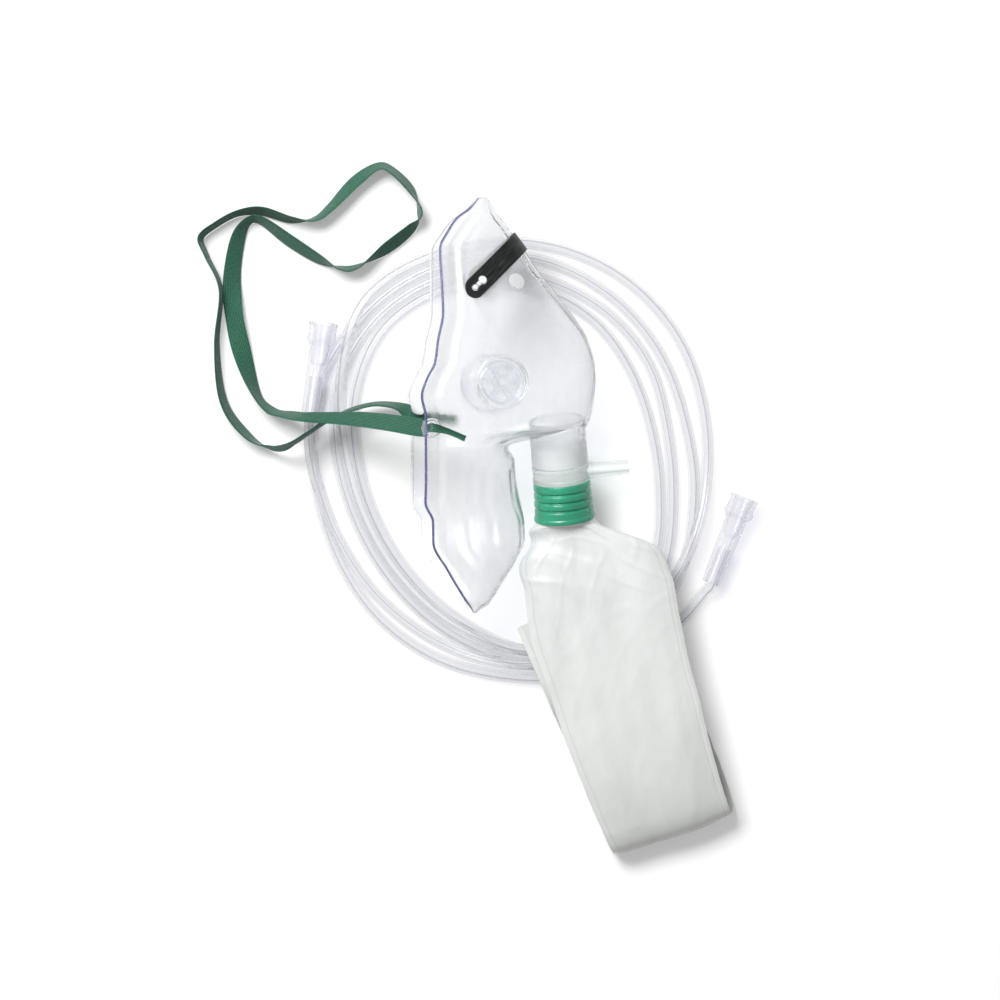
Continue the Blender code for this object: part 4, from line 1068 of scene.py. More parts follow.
def grip_flutes(radius, height, turn):
    """Shallow flutes round the grip, fading at its two rings."""
    end = CONNECTOR_GRIP - GRIP_FLUTES_SHORT
    if radius < 0.8 * CONNECTOR_MOUTH_D / 2 or height < GRIP_FLUTES_FROM or height > end:
        return 0.0
    middle = (GRIP_FLUTES_FROM + CONNECTOR_GRIP - GRIP_FLUTES_SHORT) / 2
    fade = max(0.0, 1 - (abs(height - middle) / (middle - 0.8 * MM)) ** 4)
    return GRIP_FLUTE_RISE * fade * math.cos(GRIP_FLUTE_COUNT * turn)


def make_tubing():
    points, length = tubing_points()
    for tag, mouth, heading, rise in (
        ("left", LEFT_MOUTH, LEFT_HEADING, LEFT_RISE), ("right", RIGHT_MOUTH, RIGHT_HEADING, 0.0)
    ):
        frame = connector_frame(mouth, heading, rise)
        thing = turned(f"connector_{tag}", connector_outline(), frame, 80, CONNECTOR, grip_flutes)
        settle_in(thing, "clear_pvc", f"tubing_connector_{tag}")
    tube = tube_wall("oxygen_tubing", points, [TUBING, TUBE_RIB_SHADE])
    settle_in(tube, "clear_tubing", "tubing_coil", "tubing_end_left", "tubing_end_right")


make_tubing()


# Head strap, the second cord

BAND_THICKNESS = 0.8 * STRAP_THICKNESS
BAND_CURL = 0.4 * MM
BAND_GUTTER = 1.3 * MM
BAND_ACROSS = 12
# Stations on either side that give the band's heading
HEADING_REACH = 14


def forward_at(x, side):
    return (x - RIM_X - side * 0.5 * MASK_WIDTH * math.sin(MASK_ROLL)) / math.cos(MASK_ROLL)


def strap_end(side, tail):
    frame = eyelet_frame(side)
    out = frame.col[2].xyz
    hole = frame.translation
    inside = -(MASK_WALL + EYELET_HEIGHT) / 2
    points = []
    for share in (1.0, 0.5):
        x = hole.x + share * tail[0]
        wall = wall_point(EYELET_AT, forward_at(x, side), side)
        points.append(Vector((x, hole.y + share ** 1.6 * tail[1], wall.z + side * STRAP_LIFT)))
    points += [hole + out * h for h in (EYELET_HEIGHT, inside / 2, inside - STRAP_LIFT)]
    inward = STRAP_INWARD * (0.6 if side > 0 else 1.0)
    points.append(hole + Vector((-inward, 0.0, -side * STRAP_INWARD * 1.4)))
    return points


def strap_stations():
    """Places of the band with its lean as an angle, which turns on the short way from one to the next."""
    stations, last = [], 0.0
    for (x, y, under, seen), lean in zip(STRAP_ROUTE, STRAP_LEAN):
        tilt = math.acos(seen * MM / STRAP_WIDTH)
        rise = (STRAP_WIDTH * math.sin(tilt) + STRAP_THICKNESS * math.cos(tilt)) / 2
        turn = lean * tilt
        turn += math.pi * round((last - turn) / math.pi)
        last = turn
        stations.append((x * MM, y * MM, under * MM + rise, turn, STRAP_WIDTH))
    near_widths = (STRAP_TAIL_WIDTH, STRAP_TAIL_WIDTH, *[STRAP_PINCHED] * 3, 0.9 * STRAP_WIDTH)
    near = [(*point, 0.0, width) for point, width in zip(strap_end(1, NEAR_TAIL), near_widths)]
    level = math.pi * round(last / math.pi)
    far_widths = (1.3 * STRAP_TAIL_WIDTH, 1.4 * STRAP_TAIL_WIDTH, *[STRAP_PINCHED] * 4)
    far = [(*point, level, width) for point, width in zip(strap_end(-1, FAR_TAIL), far_widths)]
    return smooth_route(near + stations + far[::-1], 12)


def make_strap():
    """A thin band with rounded selvages; where it goes through the eyelets it is folded into a gutter."""
    stations = strap_stations()
    last = len(stations) - 1

    def fill(shape):
        uv = shape.loops.layers.uv.new("UVMap")
        rings, places, run = [], [], 0.0
        for k, station in enumerate(stations):
            if k:
                run += float(np.linalg.norm(stations[k][:3] - stations[k - 1][:3]))
            tangent = Vector(stations[min(k + 1, last)][:3]) - Vector(stations[max(k - 1, 0)][:3])
            tangent.normalize()
            before, after = stations[max(k - HEADING_REACH, 0)], stations[min(k + HEADING_REACH, last)]
            heading = Vector(after[:3]) - Vector(before[:3])
            tilt, width = station[3:]
            pinch = clamped((STRAP_WIDTH - width) / (STRAP_WIDTH - STRAP_PINCHED))
            level = Vector((heading.y, -heading.x, 0.0)).normalized()
            up = level.cross(tangent).normalized()
            across = level * math.cos(tilt) + up * math.sin(tilt)
            normal = across.cross(tangent).normalized()
            curl = BAND_CURL * waves(run * 28, 0.3, 1.7)
            gutter = BAND_GUTTER * pinch * (1 if normal.z > 0 else -1)
            centre = Vector(station[:3])
            half = across * (width / 2)
            centre.z = max(centre.z, GAP + abs(half.z) + abs(normal.z) * BAND_THICKNESS / 2)
            ring, around = [], []
            for level_side in (1, -1):
                shares = [2 * j / BAND_ACROSS - 1 for j in range(BAND_ACROSS + 1)]
                for share in shares if level_side > 0 else shares[::-1]:
                    edge = math.sqrt(max(0.0, 1 - abs(share) ** 8))
                    off = level_side * BAND_THICKNESS / 2 * (0.25 + 0.75 * edge)
                    off += curl * (share * share - 0.3)
                    off += gutter * (share * share - 0.3)
                    ring.append(shape.verts.new(centre + half * share + normal * off))
                    around.append((share * width / 2, run))
            rings.append(ring)
            places.append(around)
        skin(shape, rings, uv, places)

    strap = add_mesh("elastic_strap", fill, ELASTIC, 55.0)
    settle_in(strap, "green_elastic", "head_strap")
    eyelet_frame(1).translation


make_strap()


# Mask

ROWS = 150
ACROSS = 128
RIM_STEPS = 12
TIP_FROM = 0.975
FOLD_IN = 6.2 * MM
RIDGE_IN = 7.0 * MM
CHEEK_FROM = Vector((-46.0, 101.0, 0.0)) * MM
CHEEK_TO = Vector((-25.0, 68.0, 0.0)) * MM

# Heights of the wall's relief
WAVE_RISE = 0.5 * MM
FLUTE_RISE = 0.45 * MM
FINE_RISE = 0.12 * MM
FOLD_DEPTH = 0.65 * MM
FOLD_LIP = 0.4 * MM
CHEEK_RISE = 0.9 * MM
RIDGE_RISE = 0.34 * MM
RIDGE_DIP = 0.2 * MM


def wall_relief(point, at, share, length):
    """Fold by the rim, ridges beside the bridge and on the cheek, and soft flutes down the wall."""
    from_rim = min(share, 1 - share) * length
    from_front = abs(share - 0.5) * length
    side = 1.0 if share < 0.5 else 9.0
    ends = min(1.0, 14 * at, 5 * (1 - at))
    away = min(1.0, from_rim / (9 * MM))
    low = clamped((at - 0.58) * 12)
    calm = 1 - (0.7 + 0.25 * low) * bell(from_front, 0.0, 7 * MM)
    soft = waves(point[0] * 34, point[1] * 20, point[2] * 34)
    flutes = waves(from_rim * (130 + 80 * low), at * 2.6, side) * (1 + 1.1 * low)
    fine = waves(from_rim * 320, at * 6.0, side + 3)
    relief = (WAVE_RISE * soft + FLUTE_RISE * flutes + FINE_RISE * fine) * away * ends * calm
    relief -= FOLD_DEPTH * bell(from_rim, FOLD_IN, 1.4 * MM) * ends
    relief += FOLD_LIP * bell(from_rim, FOLD_IN + 3 * MM, 1.6 * MM) * ends
    if share < 0.5:
        down = (CHEEK_FROM.y - point[1]) / (CHEEK_FROM.y - CHEEK_TO.y)
        middle = CHEEK_FROM.x + (CHEEK_TO.x - CHEEK_FROM.x) * down
        fade = max(0.0, 1 - (2 * down - 1) ** 4) if 0 < down < 1 else 0.0
        relief += CHEEK_RISE * fade * bell(point[0], middle, 3.2 * MM)
    bridge = max(0.0, min(1.0, 20 * at, (0.50 - at) * 12))
    relief += RIDGE_RISE * bridge * bell(from_front, RIDGE_IN, 1.5 * MM)
    relief -= RIDGE_DIP * bridge * bell(from_front, 0.45 * RIDGE_IN, 2 * MM)
    return relief


def mask_grid():
    above = np.linspace(0.0, SHELF_FROM, int(ROWS * 0.48))
    shelf = np.linspace(SHELF_FROM, SHELF_TO, int(ROWS * 0.16) + 2)[1:-1]
    below = np.linspace(SHELF_TO, 1.0, int(ROWS * 0.36))
    places = [*above, *shelf, *below]
    grid = np.array([section_points(at, ACROSS) for at in places])
    for row, at in zip(grid, places):
        narrow = 1 - 0.8 * max(0.0, (at - TIP_FROM) / (1 - TIP_FROM)) ** 2
        middle = (row[0] + row[-1]) / 2
        row[:] = middle + (row - middle) * narrow
    return places, grid


def grid_normals(grid):
    along = np.gradient(grid, axis=0)
    across = np.gradient(grid, axis=1)
    normals = np.cross(along, across)
    normals /= np.maximum(np.linalg.norm(normals, axis=2, keepdims=True), 1e-9)
    middle = normals[len(normals) // 2, ACROSS // 2]
    return normals if middle[0] > 0 else -normals


def shell_maker(grid, inner):
    """Outer and inner walls joined by a band of faces all round."""
    def fill(shape):
        rows, columns = grid.shape[:2]
        out = [[shape.verts.new(Vector(p)) for p in row] for row in grid]
        ins = [[shape.verts.new(Vector(p)) for p in row] for row in inner]
        for i in range(rows - 1):
            for k in range(columns - 1):
                shape.faces.new((out[i][k], out[i][k + 1], out[i + 1][k + 1], out[i + 1][k]))
                shape.faces.new((ins[i][k], ins[i + 1][k], ins[i + 1][k + 1], ins[i][k + 1]))
        ring = [(i, 0) for i in range(rows)] + [(rows - 1, k) for k in range(1, columns)]
        ring += [(i, columns - 1) for i in range(rows - 2, -1, -1)]
        ring += [(0, k) for k in range(columns - 2, 0, -1)]
        for a, b in zip(ring, ring[1:] + ring[:1]):
            shape.faces.new((out[a[0]][a[1]], out[b[0]][b[1]], ins[b[0]][b[1]], ins[a[0]][a[1]]))

    return fill


def post_outline(seat_top, flap_top):
    head_low = flap_top + GAP
    return [
        (POST_D / 2, seat_top), (POST_D / 2, head_low), (POST_HEAD_D / 2, head_low),
        (POST_HEAD_D / 2, head_low + POST_HEAD), (0.0, head_low + POST_HEAD),
    ]


PETAL_STEPS = 28
PETAL_POWER = 0.55


def window_makers(frame, low, high, inner, outer):
    """Petal-shaped openings round the post, with rounded corners."""
    def petal(middle):
        def fill(shape):
            outline = []
            for k in range(PETAL_STEPS):
                turn = 2 * math.pi * k / PETAL_STEPS
                c, s = math.cos(turn), math.sin(turn)
                along = math.copysign(abs(c) ** PETAL_POWER, c)
                side = math.copysign(abs(s) ** PETAL_POWER, s)
                radius = (inner + outer) / 2 + along * (outer - inner) / 2
                spread = WINDOW_ANGLE * 0.5 * (0.75 + 0.25 * (radius - inner) / (outer - inner))
                angle = middle + side * spread
                outline.append((radius * math.cos(angle), radius * math.sin(angle)))
            skin(shape, [
                [shape.verts.new(frame @ Vector((x, y, h))) for x, y in outline] for h in (low, high)
            ])

        return fill

    return [petal(2 * math.pi * k / VALVE_WINDOWS) for k in range(VALVE_WINDOWS)]


def flap(name, frame, low, radius, node):
    """A silicone disc with a thicker middle, a thin lip and a raised ring."""
    hole = POST_D / 2 + GAP
    top = low + FLAP_THICKNESS
    steps = (
        (0.2, low), (0.0, low + 0.12 * MM), (0.3, top - 0.2 * MM), (1.0, top - 0.12 * MM), (1.4, top),
        (1.8, top - 0.14 * MM),
    )
    profile = [(hole, low)] + [(radius - inward * MM, height) for inward, height in steps]
    profile += [(hole + 1.0 * MM, top - 0.1 * MM), (hole + 0.5 * MM, top), (hole, top)]
    thing = turned(name, profile, frame, 72, SILICONE, smooth=60.0)
    return settle_in(thing, "silicone", node)


def make_mask():
    places, grid = mask_grid()
    normals = grid_normals(grid)
    share = np.linspace(0.0, 1.0, ACROSS + 1)
    lengths = np.linalg.norm(np.diff(grid, axis=1), axis=2).sum(axis=1)
    relief = np.array([
        [wall_relief(grid[i, k], places[i], share[k], lengths[i]) for k in range(ACROSS + 1)]
        for i in range(len(places))
    ])
    outer = grid + normals * relief[..., None]
    inner = outer - grid_normals(outer) * MASK_WALL
    shell = add_mesh("clear_mask", shell_maker(outer, inner), CLEAR, 50.0)

    holes, rings, windows = [], [], []
    for side, tag in ((1, "near"), (-1, "far")):
        frame = wall_frame(VALVE_AT, VALVE_FORWARD, side)
        radius = VALVE_OD / 2
        bore = radius - VALVE_RING
        middle = (radius + bore) / 2
        reach = 2 * VALVE_SKIRT
        holes.append(spun(block(0.0, middle, -reach, reach), frame, 72))
        profile = [
            (0.0, -VALVE_SEAT), (bore, -VALVE_SEAT), (bore, -VALVE_SKIRT), (radius, -VALVE_SKIRT),
            (radius, VALVE_RISE), (bore, VALVE_RISE), (bore, 0.0),
        ] + post_outline(0.0, GAP + FLAP_THICKNESS)
        radii = [0.0, 0.3, 0.3, 0.3, 0.55, 0.4, 0.3, 0.3, 0.2, 0.3, 0.3, 0.0]
        rings.append(spun(rounded(profile, radii, 3), frame, 72))
        windows += window_makers(frame, -VALVE_SEAT - MM, GAP / 2, WINDOW_INNER_R, WINDOW_OUTER_R)
        flap(f"valve_flap_{tag}", frame, GAP, bore - FLAP_MARGIN, f"exhalation_flap_{tag}")
        eye = eyelet_frame(side)
        mean = (EYELET_OD + EYELET_HOLE) / 4
        holes.append(spun(block(0.0, mean, -5 * MM, 5 * MM), eye, 40))
        low = -(MASK_WALL + EYELET_HEIGHT) / 2
        profile = block(EYELET_HOLE / 2, EYELET_OD / 2, low, low + EYELET_HEIGHT)
        rings.append(spun(rounded(profile, 0.6, 4), eye, 40))
    port = port_frame()
    radius, bore = PORT_OD / 2, PORT_OD / 2 - PORT_WALL
    middle = (radius + bore) / 2
    past = PORT_INSIDE + 5 * MM
    holes.append(spun(block(0.0, middle, -past, PORT_LENGTH), port, 96))
    profile = block(bore, radius, -PORT_INSIDE, PORT_LENGTH)
    rings.append(spun(rounded(profile, 0.45, 4), port, 96))
    cut(shell, "DIFFERENCE", joined("holes", holes, None))
    ring = joined("rings", rings, None)
    cut(ring, "DIFFERENCE", joined("windows", windows, None))
    cut(shell, "UNION", ring)
    refinish(shell, CLEAR, 42)
    settle_in(shell, "clear_pvc", "mask_shell")
    make_rim(outer, inner)


def make_rim(outer, inner):
    """The rolled edge round the mask's open side: it shows dark blue along the near side."""
    middle = (outer + inner) / 2
    rows, columns = middle.shape[:2]
    for tag, column, radius, material in (("near", 0, 0.5 * MM, RIM), ("far", columns - 1, 0.65 * MM, STUD)):
        frames = carried_frames([Vector(middle[i, column]) for i in range(rows)])

        def fill(shape, frames=frames, radius=radius):
            loops = []
            last = len(frames) - 1
            for n, (point, side, up, _) in enumerate(frames):
                narrow = radius * min(1.0, 0.35 + n / 6, 0.35 + (last - n) / 6)
                turns = [2 * math.pi * k / RIM_STEPS for k in range(RIM_STEPS)]
                ways = [side * math.cos(turn) + up * math.sin(turn) for turn in turns]
                loops.append([shape.verts.new(point + way * narrow) for way in ways])
            skin(shape, loops)

        settle_in(add_mesh(f"rim_{tag}", fill, material, 60.0), "clear_pvc")


make_mask()


# Nose clip

NEAR_CLIP_LONGER = 2.5 * MM
FAR_CLIP_SHORTER = 4.0 * MM
STUD_SEEN_D = 3.3 * MM


def clip_end(side):
    """Middle of the clip's round end, as arc from the bridge."""
    return (CLIP_LENGTH - CLIP_WIDTH) / 2 + (NEAR_CLIP_LONGER if side > 0 else -FAR_CLIP_SHORTER)


def make_studs():
    """Milky buttons of the mask that fill the clip's keyholes, and the mould's gate mark."""
    makers = []
    shares = ((1.0, STUD_SEEN_D), (0.5, 0.62 * KEYHOLE_SLOT), (0.03, 0.72 * KEYHOLE_SLOT))
    for side in (1, -1):
        for share, diameter in shares:
            outline = block(0.0, diameter / 2, -0.5 * MM, STUD_HEIGHT)
            frame = clip_frame(side * (clip_end(side) - share * KEYHOLE_LENGTH), 0.0, side)
            makers.append(spun(rounded(outline, [0, 0, 0.5, 0], 4), frame, 32))
    ring = VALVE_OD / 2
    low = -0.5 * MASK_WALL
    edge = rounded(block(ring - 0.2 * MM, ring + 0.6 * MM, low, low + 0.8 * MM), 0.2, 3)
    foot = turned("valve_foot_far", edge, wall_frame(VALVE_AT, VALVE_FORWARD, -1), 72, VALVE_EDGE)
    settle_in(foot, "clear_pvc")
    outline = rounded(block(0.0, GATE_D / 2, 0.1 * MM, GATE_RISE + 0.2 * MM), [0, 0, 0.3, 0], 3)
    gate = spun(outline, wall_frame(GATE_AT, GATE_FORWARD, 1), 48)
    settle_in(joined("gate_mark", [gate], GATE, 50.0), "clear_pvc")
    settle_in(joined("clip_studs", makers, STUD, 50.0), "clear_pvc")


def make_clip():
    radius = CLIP_WIDTH / 2
    low, high = -clip_end(-1) - radius, clip_end(1) + radius
    edge = 0.22 * MM
    steps = 100

    def fill(shape):
        uv = shape.loops.layers.uv.new("UVMap")
        grid = []
        places = [low + (high - low) * k / steps for k in range(steps + 1)]
        for along in places:
            end = high if along > 0 else -low
            past = min(max(0.0, abs(along) - (end - radius)), 0.985 * radius)
            width = math.sqrt(radius ** 2 - past ** 2)
            row = []
            for share in (-1.0, -0.94, -0.5, 0.0, 0.5, 0.94, 1.0):
                down = edge if abs(share) == 1.0 else 0.0
                frame = clip_frame(along, width * share, 1)
                row.append([
                    shape.verts.new(frame @ Vector((0.0, 0.0, h)))
                    for h in (CLIP_LIFT + down, CLIP_LIFT + CLIP_THICKNESS - down)
                ])
            grid.append(row)
        size = len(grid[0])

        def add(corners, places):
            face = shape.faces.new([grid[i][k][level] for i, k, level in corners])
            for loop, at in zip(face.loops, places):
                loop[uv].uv = at

        for i in range(steps):
            here, ahead = places[i], places[i + 1]
            for k in range(size - 1):
                one, two = k * 0.1, k * 0.1 + 0.1
                for level in (0, 1):
                    corners = (i, k, level), (i, k + 1, level), (i + 1, k + 1, level), (i + 1, k, level)
                    add(corners, ((here, one), (here, two), (ahead, two), (ahead, one)))
            for k in (0, size - 1):
                corners = (i, k, 0), (i, k, 1), (i + 1, k, 1), (i + 1, k, 0)
                add(corners, ((here, 0.0), (here, 0.1), (ahead, 0.1), (ahead, 0.0)))
        for i in (0, steps):
            for k in range(size - 1):
                corners = (i, k, 0), (i, k + 1, 0), (i, k + 1, 1), (i, k, 1)
                add(corners, ((0, 0), (0, 0.1), (0.1, 0.1), (0.1, 0)))

    clip = add_mesh("metal_clip", fill, METAL, 35.0)
    cutters = []
    for side in (1, -1):
        end = clip_end(side)
        for along, diameter in ((end - KEYHOLE_LENGTH, KEYHOLE_D), (end, KEYHOLE_SLOT)):
            frame = clip_frame(side * along, 0.0, side)
            cutters.append(joined("hole", [spun(block(0.0, diameter / 2, -3 * MM, 3 * MM), frame, 40)], None))
        middle = clip_frame(side * (end - KEYHOLE_LENGTH / 2), 0.0, side)

        def slot(shape, middle=middle):
            size = Matrix.Diagonal((KEYHOLE_LENGTH, 0.7 * KEYHOLE_SLOT, 6 * MM, 1.0))
            bmesh.ops.create_cube(shape, size=1.0, matrix=middle @ size)

        cutters.append(joined("slot", [slot], None))
    for cutter in cutters:
        cut(clip, "DIFFERENCE", cutter)
    refinish(clip, METAL, 35)
    settle_in(clip, "dark_aluminium", "nose_clip")


make_clip()
make_studs()


# Adaptor, collar

def make_adaptor():
    frame = port_frame()
    insert_r = PORT_OD / 2 - PORT_WALL - GAP
    bore_r = insert_r - ADAPTOR_WALL
    spigot_r = BAG_SPIGOT_OD / 2
    spigot_bore_r = spigot_r - ADAPTOR_WALL
    top = PORT_LENGTH - ADAPTOR_INSERT
    band_low = PORT_LENGTH + GAP
    band_high = band_low + BAND_HEIGHT
    end = band_high + BAG_SPIGOT
    seat_low = top + SEAT_DEPTH
    seat_high = seat_low + SEAT_THICKNESS
    flap_low = seat_low - GAP - FLAP_THICKNESS
    head_high = flap_low - GAP
    third = BAND_HEIGHT / 3
    groove = 0.35 * MM
    profile = [
        (0.0, seat_high), (bore_r, seat_high), (bore_r, band_high), (spigot_bore_r, band_high + SPIGOT_STEP),
        (spigot_bore_r, end), (spigot_r, end), (spigot_r, band_high), (BAND_OD / 2, band_high),
        (BAND_OD / 2, band_low + 2.3 * third), (BAND_OD / 2 - groove, band_low + 2.1 * third),
        (BAND_OD / 2 - groove, band_low + 0.9 * third), (BAND_OD / 2, band_low + 0.7 * third),
        (BAND_OD / 2, band_low), (insert_r, band_low), (insert_r, top), (bore_r, top), (bore_r, seat_low),
        (POST_D / 2, seat_low), (POST_D / 2, head_high), (POST_HEAD_D / 2, head_high),
        (POST_HEAD_D / 2, head_high - POST_HEAD), (0.0, head_high - POST_HEAD),
    ]
    radii = [0, .3, .3, .5, .5, .4, .3, .45, .2, .2, .2, .2, .5, .3, .3, .3, .3, .2, .2, .3, .3, 0]
    body = turned("adaptor", rounded(profile, radii, 3), frame, 96, FROSTED)
    outer = bore_r - FLAP_MARGIN
    windows = window_makers(frame, seat_low - GAP / 2, seat_high + MM, BAG_WINDOW_INNER_R, outer)
    cut(body, "DIFFERENCE", joined("adaptor_windows", windows, None))
    middle = Matrix.Translation((0.0, 0.0, (band_low + band_high) / 2))
    across = frame @ middle @ Matrix.Rotation(math.pi / 2, 4, "Y")
    root = (bore_r + BAND_OD / 2) / 2
    nipple_r = NIPPLE_OD / 2
    outline = [
        (0.0, root), (nipple_r + 0.5 * MM, root), (nipple_r + 0.5 * MM, BAND_OD / 2 + 0.3 * MM),
        (nipple_r, BAND_OD / 2 + 1.6 * MM), (nipple_r - 0.15 * MM, NIPPLE_REACH - 6 * MM),
        (nipple_r - 0.05 * MM, NIPPLE_REACH - 3.5 * MM), (nipple_r - 0.35 * MM, NIPPLE_REACH),
        (0.0, NIPPLE_REACH),
    ]
    outline = rounded(outline, [0, 0, 0.3, 0.6, 0.4, 0.4, 0.4, 0], 4)
    cut(body, "UNION", joined("nipple", [spun(outline, across, 48)], None))
    bore = block(0.0, NIPPLE_BORE / 2, bore_r / 2, NIPPLE_REACH + MM)
    cut(body, "DIFFERENCE", joined("nipple_bore", [spun(bore, across, 32)], None))
    refinish(body, FROSTED, 42)
    settle_in(body, "frosted_plastic", "oxygen_adaptor")
    flap("adaptor_flap", frame, flap_low, bore_r - 2 * GAP, "bag_valve_flap")


def collar_start():
    return PORT_LENGTH + 2 * GAP + BAND_HEIGHT


def make_collar():
    frame = port_frame()
    inner = BAG_SPIGOT_OD / 2 + GAP
    start = collar_start()
    end = start + COLLAR_LENGTH
    body_end = end - FLANGE_HEIGHT
    profile = [(inner, start), (COLLAR_OD / 2, start)]
    radii = [0.2, 0.5]
    pitch = (body_end - start) / (COLLAR_GROOVES + 1)
    for k in range(1, COLLAR_GROOVES + 1):
        radius = COLLAR_OD / 2 + COLLAR_TAPER * k / (COLLAR_GROOVES + 1)
        middle = start + pitch * k
        profile += [
            (radius, middle - 1.1 * COLLAR_GROOVE), (radius - COLLAR_GROOVE, middle - 0.2 * COLLAR_GROOVE),
            (radius - COLLAR_GROOVE, middle + 0.2 * COLLAR_GROOVE), (radius, middle + 1.1 * COLLAR_GROOVE),
        ]
        radii += [0.35, 0.2, 0.2, 0.35]
    radius = COLLAR_OD / 2 + COLLAR_TAPER
    profile += [(radius, body_end), (FLANGE_OD / 2, body_end + 0.3 * FLANGE_HEIGHT)]
    profile += [(FLANGE_OD / 2, end), (inner, end)]
    radii += [0.3, 0.5, 0.7, 0.3]
    collar = turned("ribbed_collar", rounded(profile, radii, 4), frame, 96, GREEN, smooth=50.0)
    settle_in(collar, "green_collar", "bag_collar")


make_adaptor()
make_collar()


# Reservoir bag

# Heights of the film's relief, mm
FILM_SOFT = 1.8
FILM_FOLD = 1.1
FILM_CREASE = 0.8
FILM_CROSS = 1.5
FILM_GATHER = 0.45
FILM_FINE = 0.06


def film_relief(wide, run, upper):
    """Height of the film's wrinkles: gathers at the neck, ridged creases and long soft waves."""
    layer = 0.0 if upper else 9.0
    soft = waves(wide * 1.6, run * 0.022, layer)
    folds = waves(wide * 4.2 + run * 0.01, run * 0.012, layer + 4)
    crease = max(0.0, 1 - abs(waves(wide * 2.2 + run * 0.03, run * 0.045, layer + 12)) * 6) ** 1.8
    cross = max(0.0, 1 - abs(waves(wide * 1.3, run * 0.085 - wide * 0.8, layer + 20)) * 3.4) ** 1.6
    gathers = math.sin(wide * 13 + 2.0 * math.sin(run * 0.16) + 3 * soft) * bell(run, 10, 13)
    shoulder = bell(run, 22, 15)
    fine = waves(wide * 14, run * 0.3, layer + 30)
    return MM * (
        FILM_SOFT * soft + FILM_FOLD * folds + FILM_CREASE * crease * (0.6 + 0.7 * shoulder)
        + FILM_CROSS * cross * shoulder + FILM_GATHER * gathers + FILM_FINE * fine
    )


# Rings of the gathered neck: distance from the collar, half width and half thickness, mm
NECK_RINGS = ((0.0, 12.3, 11.6), (1.6, 13.2, 10.8), (4.2, 15.6, 9.0))
FILM_HALF = 0.3 * MM
FILM_LOWEST = 0.2 * MM
# Where the neck's round section goes over into flat film: its start and its stretch along the bag, mm
FLAT_FROM = 5
FLAT_OVER = 24
# Share of the half width that the welded margins take, and how far their edges wander
MARGIN_SHARE = 0.10
EDGE_WANDER = 0.5
EDGE_FINE = 0.22


def make_bag():
    """Film bag: gathered neck, flat welded margins, soft creases, folded back under itself."""
    frame = port_frame()
    start = collar_start() + COLLAR_LENGTH + 0.1 * MM
    neck = []
    mouth = frame @ Vector((0.0, 0.0, start)) / MM
    ahead = Vector((math.sin(PORT_TURN), -math.cos(PORT_TURN), 0.0))
    for distance, half_width, half_thickness in NECK_RINGS:
        point = mouth + ahead * distance
        neck.append((*point, half_width, half_thickness, math.degrees(PORT_TURN), 2.0))
    shift = mouth - BAG_NECK
    body = [(s[0] + shift.x, s[1] + shift.y, *s[2:]) for s in BAG_UPPER + BAG_FOLD + BAG_LOWER]
    stations = smooth_route(neck + body, 16)
    last = len(stations) - 1
    around = 168
    arc = arc_lengths(np.array(stations)[:, :3])

    def fill(shape):
        uv = shape.loops.layers.uv.new("UVMap")
        rings, places = [], []
        for k, station in enumerate(stations):
            run = arc[k]
            forward = frame.col[2].xyz
            if k > 0:
                forward = Vector(stations[min(k + 1, last)][:3]) - Vector(stations[k - 1][:3])
            forward.normalize()
            centre = Vector(station[:3]) * MM
            half_width, half_thickness = station[3] * MM, station[4] * MM
            turn = math.radians(station[5])
            across = Vector((math.cos(turn), math.sin(turn), 0.0))
            up = across.cross(forward).normalized()
            flat = clamped((run - FLAT_FROM) / FLAT_OVER)
            begin = clamped((run - 0.5) / 4)
            ring, around_it = [], []
            for n in range(around):
                angle = 2 * math.pi * (n + 0.5) / around
                c, s = math.cos(angle), math.sin(angle)
                even = 1 - 2 * angle / math.pi if s > 0 else 2 * angle / math.pi - 3
                wide = c + (0.6 * even - 0.6 * c) * flat
                high = math.copysign(abs(s) ** (2 / station[6]), s)
                sign = 1.0 if s > 0 else -1.0
                dome = max(0.0, 1 - abs(wide) ** 2.6) ** 0.9
                film = FILM_HALF + (half_thickness - FILM_HALF) * dome
                edge = min(1.0, abs(s) * 9)
                rise = high * half_thickness * (1 - flat) + sign * film * flat * edge
                margin = min(1.0, (1 - abs(wide)) / MARGIN_SHARE) * flat + (1 - flat)
                relief = film_relief(wide, run, s > 0) * begin * margin * min(1.0, abs(s) * 4)
                rise += sign * relief * (1.0 if s > 0 else 0.3)
                bend = EDGE_WANDER * waves(run * 0.05, 5.0 if c > 0 else 11.0, 0.0)
                bend += EDGE_FINE * waves(run * 0.22, 3.0 if c > 0 else 17.0, 0.0)
                point = centre + across * (half_width * wide + bend * MM * flat) + up * rise
                point.z = max(point.z, FILM_LOWEST)
                ring.append(shape.verts.new(point))
                around_it.append((wide, run / arc[-1]))
            rings.append(ring)
            places.append(around_it)
        skin(shape, rings, uv, places)

    bag = add_mesh("film_bag", fill, FILM, 60.0)
    settle_in(bag, "bag_film", "reservoir_bag")


make_bag()


# Table, light, finish

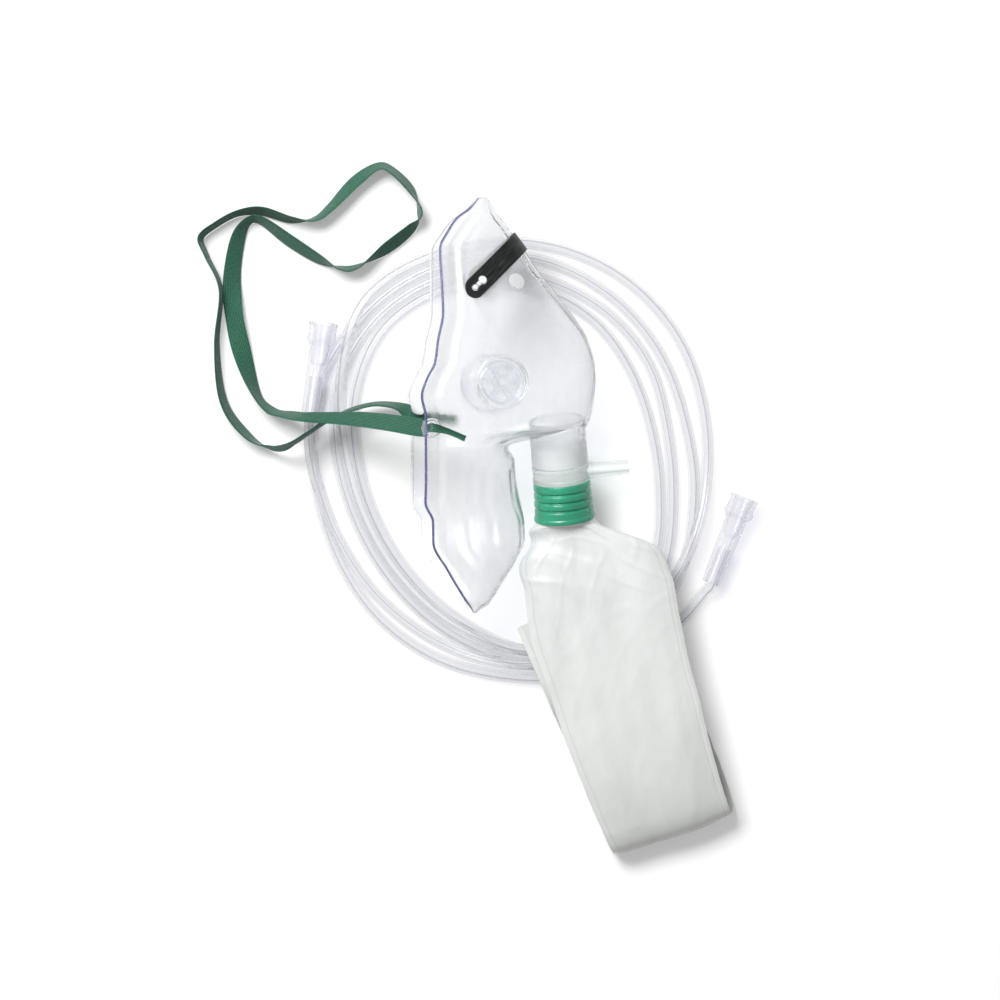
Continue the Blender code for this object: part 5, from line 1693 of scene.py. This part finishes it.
WHITE = (1.0, 1.0, 1.0, 1.0)
TABLE_GLOW = 0.22
TABLE_HALF = 6.0
TABLE_DROP = 0.0001
LAMP_SIZE = (0.9, 0.7)
LAMP_POWER = 33.0
LAMP_PLACE = (-0.68, 0.82, 1.42)
# Brightness of the surroundings on the object, and in its reflections
WORLD_LIGHT = 0.36
WORLD_MIRRORED = 0.6


def make_table():
    def fill(shape):
        bmesh.ops.create_grid(shape, x_segments=1, y_segments=1, size=TABLE_HALF)

    paint = Paint("table", (0.80, 0.80, 0.80), 1.0, Specular_IOR_Level=0.0)
    rays = paint.node("ShaderNodeLightPath").outputs
    seen = paint.math("MAXIMUM", rays["Is Camera Ray"], rays["Is Transmission Ray"])
    shown = paint.math("MAXIMUM", seen, rays["Is Glossy Ray"])
    level = paint.range(shown, 0.0, 1.0, 0.0, TABLE_GLOW)
    glow = paint.node("ShaderNodeEmission", Color=WHITE, Strength=level)
    both = paint.node("ShaderNodeAddShader")
    paint.put(paint.shader.outputs["BSDF"], both.inputs[0])
    paint.put(glow.outputs["Emission"], both.inputs[1])
    paint.put(both.outputs["Shader"], paint.output.inputs["Surface"])
    floor = add_mesh("table", fill, paint.material)
    floor.location = (0.0, 0.0, -TABLE_DROP)


def make_light():
    lamp = bpy.data.lights.new("key", "AREA")
    lamp.shape = "RECTANGLE"
    lamp.size, lamp.size_y = LAMP_SIZE
    lamp.energy = LAMP_POWER
    thing = new_object("key", lamp)
    thing.location = LAMP_PLACE
    thing.rotation_euler = (VIEW_CENTRE - thing.location).to_track_quat("-Z", "Y").to_euler()

    world = bpy.data.worlds.new("studio")
    bpy.context.scene.world = world
    world.use_nodes = True
    nodes = Nodes(world.node_tree)
    rays = nodes.node("ShaderNodeLightPath").outputs
    seen = nodes.math("MAXIMUM", rays["Is Camera Ray"], rays["Is Transmission Ray"])
    glossy = nodes.range(rays["Is Glossy Ray"], 0.0, 1.0, WORLD_LIGHT, WORLD_MIRRORED)
    background = world.node_tree.nodes["Background"].inputs
    nodes.put(WHITE, background["Color"])
    nodes.put(nodes.math("MAXIMUM", seen, glossy), background["Strength"])


make_table()
make_light()

scene = bpy.context.scene
scene.view_settings.view_transform = "Standard"

bpy.context.view_layer.update()
